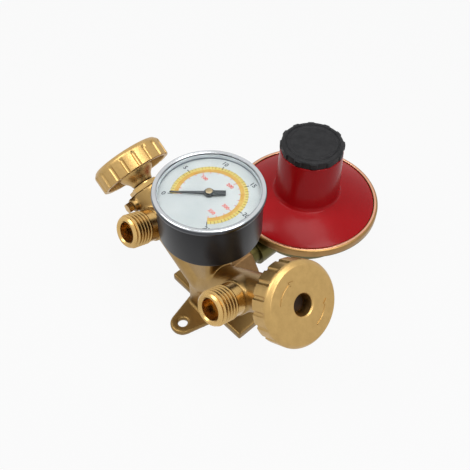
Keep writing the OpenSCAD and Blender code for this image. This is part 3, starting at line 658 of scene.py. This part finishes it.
black_paint = coated_finish("black_paint", CASE_PAINT, CASE_PAINT_WORN, rough=(0.30, 0.40),
                            grain_scale=1800.0, bump_depth=0.03, sheen=0.22)
chrome = metal_finish("chrome", CHROME, CHROME_DARK, rough=(0.10, 0.17),
                      grain_scale=900.0, bump_depth=0.01, stain_scale=90.0)
# Painted dark reflection on the bezel's side, below its bright crown.
tone_by_height(chrome, CROWN_LOW, CROWN_HIGH, CHROME_SIDE_SHADE)
case_inner = CASE_R - CASE_WALL
case_floor = CASE_FOOT + CASE_WALL
case_bm = lathe([
    (GAUGE_PORT_R, CASE_FOOT), (CASE_R, CASE_FOOT, 1.4), (CASE_R, LENS_FOOT), (case_inner, LENS_FOOT),
    (case_inner, case_floor), (GAUGE_PORT_R, case_floor)], steps=128, closed=True)
to_piece("gauge_case_shell", case_bm, black_paint, "manifold", ("gauge_case",))
bezel_inner = CASE_R + BEZEL_SIDE_GAP
bezel_bm = lathe([
    (bezel_inner, BEZEL_FOOT), (BEZEL_R - BEZEL_FOOT_IN, BEZEL_FOOT, 0.3),
    (BEZEL_R, BEZEL_FOOT + BEZEL_FOOT_L, 0.4), (BEZEL_R, BEZEL_TOP - BEZEL_CROWN_L, 0.8),
    (BEZEL_R - BEZEL_CROWN_OUTER, BEZEL_TOP, 0.8),
    (BEZEL_R - BEZEL_CROWN_INNER, BEZEL_TOP - BEZEL_CROWN_DIP, 0.4),
    (BEZEL_OPENING_R, LENS_TOP + BEZEL_LIP, 0.1), (BEZEL_OPENING_R, LENS_TOP + TOUCH_GAP),
    (bezel_inner, LENS_TOP + TOUCH_GAP)], steps=160, closed=True)
to_piece("gauge_bezel_ring", bezel_bm, chrome, "manifold", ("gauge_bezel",))

clear_lens, lens_tree, lens_shader = new_finish("clear_lens")
lens_shader.inputs["Base Color"].default_value = LENS_TINT
lens_shader.inputs["Transmission Weight"].default_value = 1.0
lens_shader.inputs["IOR"].default_value = LENS_IOR
lens_haze = ranged(lens_tree, noise(lens_tree, LENS_HAZE_SCALE), *GRAIN_RANGE, *LENS_HAZE)
lens_tree.links.new(lens_haze, lens_shader.inputs["Roughness"])
lens_r = CASE_R - LENS_SIDE_GAP
lens_bm = lathe([(0, LENS_FOOT), (lens_r, LENS_FOOT, 0.2), (lens_r, LENS_TOP, 0.2), (0, LENS_TOP)])
to_piece("gauge_lens_disc", lens_bm, clear_lens, "manifold", ("gauge_lens",))

dress(("gauge_socket", "movement_frame", "sector_gear", "bourdon_tube"), turned_brass)
dress(("gauge_washer",), rubber)

# Dial: a white lacquered disc with black graduations, a band in yellow and orange, black numbers
# outside it and red ones inside it. The print is a thin raised film, and a grey ring keeps the disc
# clear of the lens; painted shade darkens the ring's foot.
DIAL_WHITE = (0.51, 0.53, 0.52, 1)
DIAL_SHADE = (0.43, 0.46, 0.455, 1)
DIAL_INK = (0.010, 0.013, 0.022, 1)
DIAL_INK_PALE = (0.020, 0.024, 0.038, 1)
DIAL_YELLOW = (0.56, 0.43, 0.075, 1)
DIAL_YELLOW_PALE = (0.58, 0.48, 0.16, 1)
DIAL_OCHRE = (0.52, 0.27, 0.030, 1)
DIAL_OCHRE_PALE = (0.56, 0.36, 0.080, 1)
DIAL_RED = (0.62, 0.05, 0.03, 1)
DIAL_RED_PALE = (0.70, 0.10, 0.06, 1)
DIAL_R = 29.95
DIAL_FOOT = 107.4
DIAL_FACE = 108.2
DIAL_HOLE_R = 1.2
SPACER_GREY = (0.56, 0.60, 0.62, 1)
SPACER_GREY_DARK = (0.48, 0.52, 0.54, 1)
SPACER_SHADE = (0.16, 0.19, 0.22, 1)
SPACER_STEP_LOW = 109.3
SPACER_STEP_HIGH = 109.5
SPACER_IN_R = 29.2
SCALE_START = math.radians(225)
SCALE_SWEEP = math.radians(270)
FILM = 0.06
FILM_ROOT = 0.01
BAND_IN_R = 17.7
BAND_MID_R = 20.1
BAND_OUT_R = 22.3
BAND_SPLIT = 0.05
BAND_STEPS = 90
BAND_MARK_W = 0.4
BAND_MARK_TRIM = 0.4
BAR_TOP = 25
BAR_NUMBERS = range(0, BAR_TOP + 1, 5)
BAR_NUMBER_R = 26.0
BAR_NUMBER_SIZE = 4.0
PSI_TOP = 362
PSI_NUMBERS = (100, 200, 300, 350)
PSI_NUMBER_R = 13.4
PSI_NUMBER_SIZE = 3.1
FIGURE_BOLD = 0.08
FIGURE_CURVE_STEPS = 3
# Length and width of the ticks at every fifth bar, at every bar and at every half bar
TICK_SIZES = ((2.9, 0.5), (1.9, 0.26), (1.7, 0.18))
TICK_OVERLAP = 1.6
TICK_FILM = FILM * 1.4
RED_TICK_STEP = 20
RED_TICK_LONG_STEP = 100
RED_TICK_LONG = 2.2
RED_TICK_SHORT = 1.3
RED_TICK_W = 0.3
RED_TICK_OVERLAP = 0.2
RED_TICK_LIFT = FILM * 0.6


def print_finish(name, colour, pale):
    """Printing ink on the dial."""
    return coated_finish(name, colour, pale, rough=(0.4, 0.5), grain_scale=2600.0, bump_depth=0.004,
                         stain_scale=400.0)


dial_white = coated_finish("dial_white", DIAL_WHITE, DIAL_SHADE, rough=(0.35, 0.45),
                           grain_scale=900.0, bump_depth=0.01)
dial_ink = print_finish("dial_ink", DIAL_INK, DIAL_INK_PALE)
dial_yellow = print_finish("dial_yellow", DIAL_YELLOW, DIAL_YELLOW_PALE)
dial_ochre = print_finish("dial_ochre", DIAL_OCHRE, DIAL_OCHRE_PALE)
dial_red = print_finish("dial_red", DIAL_RED, DIAL_RED_PALE)
dial_bm = lathe([
    (DIAL_HOLE_R, DIAL_FOOT), (DIAL_R, DIAL_FOOT), (DIAL_R, DIAL_FACE), (DIAL_HOLE_R, DIAL_FACE)],
    steps=128, closed=True)
to_piece("gauge_dial_disc", dial_bm, dial_white, "manifold", ("gauge_dial",))
spacer_grey = coated_finish("spacer_grey", SPACER_GREY, SPACER_GREY_DARK, rough=(0.25, 0.35),
                            grain_scale=900.0, bump_depth=0.01)
# Painted shade at the ring's foot, next to the dial.
tone_by_height(spacer_grey, SPACER_STEP_LOW, SPACER_STEP_HIGH, SPACER_SHADE)
spacer_low = DIAL_FACE + TOUCH_GAP
spacer_high = LENS_FOOT - TOUCH_GAP
spacer_bm = lathe([
    (SPACER_IN_R, spacer_low), (DIAL_R, spacer_low), (DIAL_R, spacer_high),
    (SPACER_IN_R, spacer_high, 0.25)], steps=128, closed=True)
to_piece("dial_spacer", spacer_bm, spacer_grey, "manifold")


def arc_strip(inner, outer):
    """A thin film between two radii, along the whole scale."""
    bm = bmesh.new()
    outline = ((inner, -FILM_ROOT), (outer, -FILM_ROOT), (outer, FILM), (inner, FILM))
    corners = [bm.verts.new((radius, 0, DIAL_FACE + up)) for radius, up in outline]
    swept(bm, corners, -SCALE_SWEEP, BAND_STEPS, SCALE_START)
    bmesh.ops.recalc_face_normals(bm, faces=bm.faces)
    return bm


def scale_bar(bm, share, radius, lift, size):
    """Adds a printed bar at a share of the scale's sweep; size is length, width and thickness."""
    place = (Matrix.Rotation(SCALE_START - SCALE_SWEEP * share, 4, "Z")
             @ Matrix.Translation((radius, 0, DIAL_FACE + lift)) @ Matrix.Diagonal((*size, 1)))
    bmesh.ops.create_cube(bm, size=1, matrix=place)


to_piece("dial_band", arc_strip(BAND_MID_R, BAND_OUT_R), dial_yellow, "manifold")
to_piece("dial_inner_band", arc_strip(BAND_IN_R, BAND_MID_R - BAND_SPLIT), dial_ochre,
         "manifold")
band_marks_bm = bmesh.new()
ticks_bm = bmesh.new()
for half_bar in range(2 * BAR_TOP + 1):
    half_bar_share = half_bar / (2 * BAR_TOP)
    scale_bar(band_marks_bm, half_bar_share, (BAND_MID_R + BAND_OUT_R) / 2, FILM,
              (BAND_OUT_R - BAND_MID_R - BAND_MARK_TRIM, BAND_MARK_W, FILM))
    tick_rank = 0 if half_bar % 10 == 0 else 1 if half_bar % 2 == 0 else 2
    tick_length, tick_width = TICK_SIZES[tick_rank]
    scale_bar(ticks_bm, half_bar_share, BAND_OUT_R + tick_length / 2 - TICK_OVERLAP, FILM,
              (tick_length, tick_width, TICK_FILM))
to_piece("dial_band_marks", band_marks_bm, dial_ochre, "manifold")
to_piece("dial_ticks", ticks_bm, dial_ink, "manifold")
red_ticks_bm = bmesh.new()
for psi in range(0, PSI_TOP + 1, RED_TICK_STEP):
    tick_length = RED_TICK_LONG if psi % RED_TICK_LONG_STEP == 0 else RED_TICK_SHORT
    scale_bar(red_ticks_bm, psi / PSI_TOP, BAND_IN_R - tick_length / 2 + RED_TICK_OVERLAP, RED_TICK_LIFT,
              (tick_length, RED_TICK_W, TICK_FILM))
to_piece("dial_red_ticks", red_ticks_bm, dial_red, "manifold")


def number_print(values, top, radius, size):
    """Upright numbers round the scale, as one thin film."""
    bm = bmesh.new()
    for value in values:
        figure = bpy.data.curves.new("figure", "FONT")
        figure.body = str(value)
        figure.size = size
        figure.align_x = "CENTER"
        figure.align_y = "CENTER"
        figure.extrude = FILM / 2
        figure.offset = FIGURE_BOLD
        figure.resolution_u = FIGURE_CURVE_STEPS
        holder = bpy.data.objects.new("figure", figure)
        scene.collection.objects.link(holder)
        shape = taken_mesh(holder)
        angle = SCALE_START - SCALE_SWEEP * value / top
        spot = Vector((radius * math.cos(angle), radius * math.sin(angle), DIAL_FACE + FILM / 2))
        shape.transform(Matrix.Translation(spot))
        bm.from_mesh(shape)
    bmesh.ops.remove_doubles(bm, verts=bm.verts, dist=SHAPE_WELD)
    return bm


bar_bm = number_print(BAR_NUMBERS, BAR_TOP, BAR_NUMBER_R, BAR_NUMBER_SIZE)
to_piece("dial_bar_numbers", bar_bm, dial_ink, "manifold")
psi_bm = number_print(PSI_NUMBERS, PSI_TOP, PSI_NUMBER_R, PSI_NUMBER_SIZE)
to_piece("dial_psi_numbers", psi_bm, dial_red, "manifold")

# Needle: a stamped and blackened pointer with a wide counterweight tail, pressed on the arbor with a
# small turned boss. Its arbor and pinion run in the movement behind the dial.
NEEDLE_BLACK = (0.028, 0.034, 0.036, 1)
NEEDLE_GREY = (0.060, 0.068, 0.070, 1)
BOSS_TAN = (0.72, 0.60, 0.42, 1)
BOSS_TAN_DARK = (0.40, 0.30, 0.16, 1)
BOSS_R = 2.1
BOSS_ROOT = 0.6
BOSS_EDGE = 0.15
BOSS_CROWN = 0.3
needle_black = coated_finish("needle_black", NEEDLE_BLACK, NEEDLE_GREY, rough=(0.35, 0.5),
                             grain_scale=2400.0, bump_depth=0.01)
dress(("gauge_needle",), needle_black)
needle_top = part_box("gauge_needle")[1].z / MM
boss_bm = lathe([
    (0, needle_top - BOSS_ROOT), (BOSS_R, needle_top - BOSS_ROOT), (BOSS_R, needle_top + BOSS_EDGE, 0.3),
    (0, needle_top + BOSS_CROWN)], steps=40)
boss_brass = metal_finish("boss_brass", BOSS_TAN, BOSS_TAN_DARK, rough=(0.3, 0.4),
                          grain_scale=2600.0, bump_depth=0.01, shade_reach=0.5)
to_piece("needle_boss", boss_bm, boss_brass, "needle")

# Union: a brass nut with rounded corners that draws the regulator's tail on a gasket against
# the casting's outlet boss.
NUT_VOXEL = 0.5
NUT_SMOOTH_PASSES = 3
# Painted shade: the nut's brass is a darker copy of the casting's, for the shade it sits in.
NUT_SHADED_BRASS = (0.235, 0.135, 0.058, 1)
NUT_BRASS_DARK = (0.11, 0.052, 0.016, 1)
shaded_nut_brass = metal_finish("shaded_nut_brass", NUT_SHADED_BRASS, NUT_BRASS_DARK, rough=(0.26, 0.42),
                         grain_scale=1500.0, bump_depth=0.08, stain_scale=200.0, shade_reach=10.0)
nut_bm = cast_copy("union_nut", NUT_VOXEL, NUT_SMOOTH_PASSES)
to_piece("union_nut_hexagon", nut_bm, shaded_nut_brass, "manifold", ("union_nut",),
         sharp_angle=60)
dress(("union_gasket",), rubber)

# Regulator body: a die-cast bowl with an olive passivated skin and an inlet neck. Its rim is rolled
# over the cover's edge, and a thin coppery ring at the roll's inner edge is a painted highlight.
PASSIVATED = (0.120, 0.105, 0.036, 1)
PASSIVATED_DARK = (0.055, 0.046, 0.016, 1)
ROLL_GOLD = (0.36, 0.205, 0.078, 1)
ROLL_GOLD_DARK = (0.14, 0.100, 0.032, 1)
# Painted highlight: a bright coppery ring along the roll's inner edge.
RIM_HIGHLIGHT_COLOUR = (0.78, 0.42, 0.28, 1)
RIM_HIGHLIGHT_DARK = (0.40, 0.16, 0.08, 1)
REG_Y = 89.5
RIM_R = 51
RIM_TOP = 43.6
RIM_FOOT = 36.6
COVER_R = 48
ROLL_SKIN = 0.06
ROLL_START = 1.4
ROLL_ROOT = 0.4
ROLL_INNER_RISE = 0.2
ROLL_OUTER_RISE = 0.1
ROLL_HEM = 0.6
ROLL_UNDER = 3
ROLL_UNDER_L = 1.5
LINE_START = 0.25
LINE_END = 1.7
LINE_INNER_RISE = 0.3
LINE_OUTER_RISE = 0.45
passivated = metal_finish("passivated", PASSIVATED, PASSIVATED_DARK, rough=(0.28, 0.42),
                          grain_scale=1100.0, bump_depth=0.05, shade_reach=10.0)
dress(("regulator_body",), passivated)
dress(("inlet_nozzle",), turned_brass)
dress(("lever_pin", "valve_lever", "diaphragm_plate"), steel)
dress(("diaphragm", "valve_pad"), rubber)
regulator_place = Matrix.Translation((0, REG_Y, 0))
roll_in = COVER_R + ROLL_START
roll_out = RIM_R + ROLL_SKIN
roll_under = RIM_R - ROLL_UNDER
roll_bm = lathe([
    (roll_in, RIM_TOP - ROLL_ROOT), (roll_in, RIM_TOP + ROLL_INNER_RISE, 0.2),
    (roll_out, RIM_TOP + ROLL_OUTER_RISE, 1.5), (roll_out, RIM_FOOT + ROLL_HEM, 1.4),
    (roll_under, RIM_FOOT - ROLL_SKIN), (roll_under, RIM_FOOT + ROLL_UNDER_L)], steps=192, closed=True)
roll_gold = metal_finish("roll_gold", ROLL_GOLD, ROLL_GOLD_DARK, rough=(0.28, 0.42),
                         grain_scale=1100.0, bump_depth=0.05, stain_scale=120.0, shade_reach=10.0)
to_piece("rim_roll", placed(roll_bm, regulator_place), roll_gold, "manifold")
# Painted highlight ring on the rolled rim.
rim_highlight = metal_finish("rim_highlight", RIM_HIGHLIGHT_COLOUR, RIM_HIGHLIGHT_DARK, rough=(0.2, 0.32),
                          grain_scale=1400.0, bump_depth=0.02)
line_in = COVER_R + LINE_START
line_out = COVER_R + LINE_END
line_bm = lathe([
    (line_in, RIM_TOP - ROLL_ROOT), (line_in, RIM_TOP + LINE_INNER_RISE, 0.3),
    (line_out, RIM_TOP + LINE_OUTER_RISE, 0.3), (line_out, RIM_TOP - ROLL_ROOT)], steps=192, closed=True)
to_piece("rim_line", placed(line_bm, regulator_place), rim_highlight, "manifold")

# Regulator outlet: a turned brass hexagon nipple, screwed in the bowl behind the cover, with a fine
# thread for the hose nut.
OUTLET_Z = 24
NIPPLE_FOOT = 122.5
NIPPLE_HEX_FOOT = 131
NIPPLE_HEX_TOP = 134
NIPPLE_END = 144.5
NIPPLE_R = 6.6
NIPPLE_FACE_R = 5.8
NIPPLE_PITCH = 1.337
NIPPLE_BORE_R = 4.5
NIPPLE_HEX_AF = 17
NIPPLE_HEX_WALL = 1
NIPPLE_CHAMFER = 0.5
NIPPLE_CHAMFER_L = 0.4
nipple_place = Matrix.Translation((0, 0, OUTLET_Z)) @ Matrix.Rotation(-math.pi / 2, 4, "X")
nipple_profile = [(NIPPLE_BORE_R, NIPPLE_FOOT), (NIPPLE_R, NIPPLE_FOOT, 0.3), (NIPPLE_R, NIPPLE_HEX_TOP)]
nipple_profile += thread_corners(NIPPLE_R, NIPPLE_HEX_TOP, NIPPLE_END, NIPPLE_PITCH, NIPPLE_FACE_R)
nipple_profile += [(NIPPLE_FACE_R, NIPPLE_END, 0.2), (NIPPLE_BORE_R, NIPPLE_END, 0.2)]
nipple_bm = placed(lathe(nipple_profile, steps=72, closed=True), nipple_place)
to_piece("outlet_nipple", nipple_bm, turned_brass, "manifold", ("regulator_outlet",))
hex_corner = NIPPLE_HEX_AF / math.sqrt(3)
hex_inner = NIPPLE_R - NIPPLE_HEX_WALL
hexagon_bm = lathe([
    (hex_inner, NIPPLE_HEX_FOOT), (hex_corner - NIPPLE_CHAMFER, NIPPLE_HEX_FOOT),
    (hex_corner, NIPPLE_HEX_FOOT + NIPPLE_CHAMFER_L), (hex_corner, NIPPLE_HEX_TOP - NIPPLE_CHAMFER_L),
    (hex_corner - NIPPLE_CHAMFER, NIPPLE_HEX_TOP), (hex_inner, NIPPLE_HEX_TOP)], steps=6, closed=True)
to_piece("outlet_hexagon", placed(hexagon_bm, nipple_place), turned_brass, "manifold",
         sharp_angle=20)

# Regulator spring: a steel coil between the diaphragm's plate and the adjuster. It is drawn in two
# lengths, a top and a foot, cut across the coil at one height.
SPRING_SPLIT = 0.3
ADJUSTER_TRAVEL = 4.5
DIAPHRAGM_LIFT = 1.5
spring_low, spring_high = (corner.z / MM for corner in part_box("regulator_spring"))
spring_cut = spring_low + SPRING_SPLIT * (spring_high - spring_low)
top_keep = 1 - ADJUSTER_TRAVEL / (spring_high - spring_cut)
foot_keep = 1 - DIAPHRAGM_LIFT / (spring_cut - spring_low)
SPRING_LENGTHS = {
    "spring_top_coils": (1, "adjuster_travel", top_keep, ("regulator_spring",)),
    "spring_foot_coils": (-1, "diaphragm_lift", foot_keep, ()),
}
for coil_name, (coil_way, coil_joint, coil_keep, coil_replaced) in SPRING_LENGTHS.items():
    coil_bm = node_copy("regulator_spring")
    bmesh.ops.bisect_plane(coil_bm, geom=coil_bm.verts[:] + coil_bm.edges[:] + coil_bm.faces[:],
                           plane_co=(0, 0, spring_cut), plane_no=(0, 0, coil_way), clear_inner=True)
    bmesh.ops.holes_fill(coil_bm, edges=[edge for edge in coil_bm.edges if edge.is_boundary])
    bmesh.ops.recalc_face_normals(coil_bm, faces=coil_bm.faces)
    coil = to_piece(coil_name, coil_bm, steel, "manifold", coil_replaced, sharp_angle=50)
    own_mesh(coil)

# Regulator cover: a deep-drawn steel bonnet in glossy red enamel, with a slightly domed dish, a small
# rounded foot and a tapered tower. Its flange is held under the rolled rim.
RED_ENAMEL = (0.33, 0.0035, 0.006, 1)
RED_ENAMEL_LIGHT = (0.375, 0.006, 0.009, 1)
RED_COAT = 0.05
RED_COAT_ROUGHNESS = 0.12
FLANGE_FOOT = 40.3
FLANGE_TOP = 42.3
FLANGE_R = 49.65
FLANGE_WIDTH = 6
FLANGE_WALL = 1
SEAT_GAP = 0.05
EDGE_IN = 0.3
EDGE_DROP = 0.2
LIP_IN = 1.6
LIP_RISE = 0.5
DISH_TOP_Z = 51.4
DISH_MID_R = 37
DISH_MID_Z = 48.6
DISH_TOP_R = 25.4
TOWER_FOOT_R = 22.6
TOWER_FOOT_FLARE = 1.1
TOWER_FOOT_STEP = 0.5
TOWER_FOOT_RISE = 2.4
TOWER_TOP_R = 20.9
TOWER_TOP = 88.5
COVER_WALL = 2
red_paint = coated_finish("red_paint", RED_ENAMEL, RED_ENAMEL_LIGHT, rough=(0.20, 0.27),
                          grain_scale=700.0, bump_depth=0.012, stain_scale=30.0, sheen=0.12)
red_shader = red_paint.node_tree.nodes["Principled BSDF"]
red_shader.inputs["Coat Weight"].default_value = RED_COAT
red_shader.inputs["Coat Roughness"].default_value = RED_COAT_ROUGHNESS
flange_inner = COVER_R - FLANGE_WIDTH
cover_bm = lathe([
    (flange_inner, FLANGE_FOOT), (FLANGE_R, FLANGE_FOOT), (FLANGE_R, FLANGE_TOP),
    (COVER_R - SEAT_GAP, FLANGE_TOP),
    (COVER_R - EDGE_IN, RIM_TOP - EDGE_DROP, 0.3), (COVER_R - LIP_IN, RIM_TOP + LIP_RISE, 0.8),
    (DISH_MID_R, DISH_MID_Z, 9), (DISH_TOP_R, DISH_TOP_Z, 1.2),
    (TOWER_FOOT_R + TOWER_FOOT_FLARE, DISH_TOP_Z + TOWER_FOOT_STEP, 0.5),
    (TOWER_FOOT_R, DISH_TOP_Z + TOWER_FOOT_RISE, 1.5), (TOWER_TOP_R, TOWER_TOP, 0.5),
    (TOWER_TOP_R - COVER_WALL, TOWER_TOP, 0.3),
    (TOWER_FOOT_R - COVER_WALL, DISH_TOP_Z, 2), (DISH_TOP_R, DISH_TOP_Z - COVER_WALL, 2),
    (flange_inner, FLANGE_FOOT + FLANGE_WALL)], steps=192, closed=True)
to_piece("cover_pressing", placed(cover_bm, regulator_place), red_paint, "manifold",
         ("regulator_cover",), sharp_angle=30)

# Regulator cap: black moulded plastic with grip ribs and a ring groove in its top. Its screw drives
# the pale plastic adjuster down on the spring.
CAP_PLASTIC = (0.008, 0.008, 0.009, 1)
CAP_PLASTIC_WORN = (0.018, 0.018, 0.019, 1)
PALE_PLASTIC = (0.70, 0.66, 0.56, 1)
PALE_PLASTIC_DARK = (0.60, 0.56, 0.46, 1)
CAP_R = 21.3
CAP_SIDE_R = 20.5
CAP_FOOT = 88.8
CAP_TOP = 94.3
CAP_EDGE_IN = 0.9
CAP_PLUG_R = 18.6
CAP_PLUG_FOOT = 85.5
CAP_SCREW_R = 5
CAP_SCREW_END = 70.5
CAP_BAND = 0.4
CAP_BANDS = 10
GROOVE_R = 17.4
GROOVE_HALF = 0.7
GROOVE_FLOOR_HALF = 0.3
GROOVE_DEPTH = 0.6
RING_IN = 2.0
RING_DROP = 0.15
PANEL_IN = 2.4
PANEL_DROP = 0.5
CAP_RIBS = 12
RIB_STEPS = 24
RIB_HALF = 0.17
RIB_FLANK = 0.07
RIB_FOOT = 89.2
RIB_TOP = 93.4
RIB_REACH = 0.1
black_plastic = coated_finish("black_plastic", CAP_PLASTIC, CAP_PLASTIC_WORN, rough=(0.42, 0.58),
                              grain_scale=1500.0, bump_depth=0.25, stain_scale=220.0, sheen=0.2)
pale_plastic = coated_finish("pale_plastic", PALE_PLASTIC, PALE_PLASTIC_DARK, rough=(0.4, 0.5),
                             grain_scale=1600.0, bump_depth=0.04)
cap_profile = [
    (0, CAP_SCREW_END), (CAP_SCREW_R, CAP_SCREW_END, 0.5), (CAP_SCREW_R, CAP_PLUG_FOOT),
    (CAP_PLUG_R, CAP_PLUG_FOOT, 0.4), (CAP_PLUG_R, CAP_FOOT), (CAP_SIDE_R, CAP_FOOT, 0.25)]
cap_profile += [(CAP_SIDE_R, CAP_FOOT + CAP_BAND * band) for band in range(1, CAP_BANDS + 1)]
cap_profile += [
    (CAP_SIDE_R, RIB_TOP, 0.2), (CAP_SIDE_R - CAP_EDGE_IN, CAP_TOP, 0.5),
    (GROOVE_R + GROOVE_HALF, CAP_TOP, 0.2),
    (GROOVE_R + GROOVE_FLOOR_HALF, CAP_TOP - GROOVE_DEPTH),
    (GROOVE_R - GROOVE_FLOOR_HALF, CAP_TOP - GROOVE_DEPTH),
    (GROOVE_R - GROOVE_HALF, CAP_TOP - RING_DROP, 0.2), (GROOVE_R - RING_IN, CAP_TOP - RING_DROP, 0.2),
    (GROOVE_R - PANEL_IN, CAP_TOP - PANEL_DROP, 0.2), (0, CAP_TOP - PANEL_DROP)]
cap_bm = lathe(cap_profile, steps=CAP_RIBS * RIB_STEPS)
for vert in cap_bm.verts:
    cap_reach = math.hypot(vert.co.x, vert.co.y)
    if cap_reach > CAP_SIDE_R - RIB_REACH and RIB_FOOT < vert.co.z < RIB_TOP:
        rib_turn = (math.atan2(vert.co.y, vert.co.x) / math.tau * CAP_RIBS) % 1.0
        rib_share = min(max((RIB_HALF - abs(rib_turn - 0.5)) / RIB_FLANK + 1, 0.0), 1.0)
        rib_grow = 1 + (CAP_R - CAP_SIDE_R) * rib_share / cap_reach
        vert.co.x *= rib_grow
        vert.co.y *= rib_grow
to_piece("cap_moulding", placed(cap_bm, regulator_place), black_plastic, "cap",
         ("regulator_cap",), sharp_angle=30)
dress(("spring_adjuster",), pale_plastic)
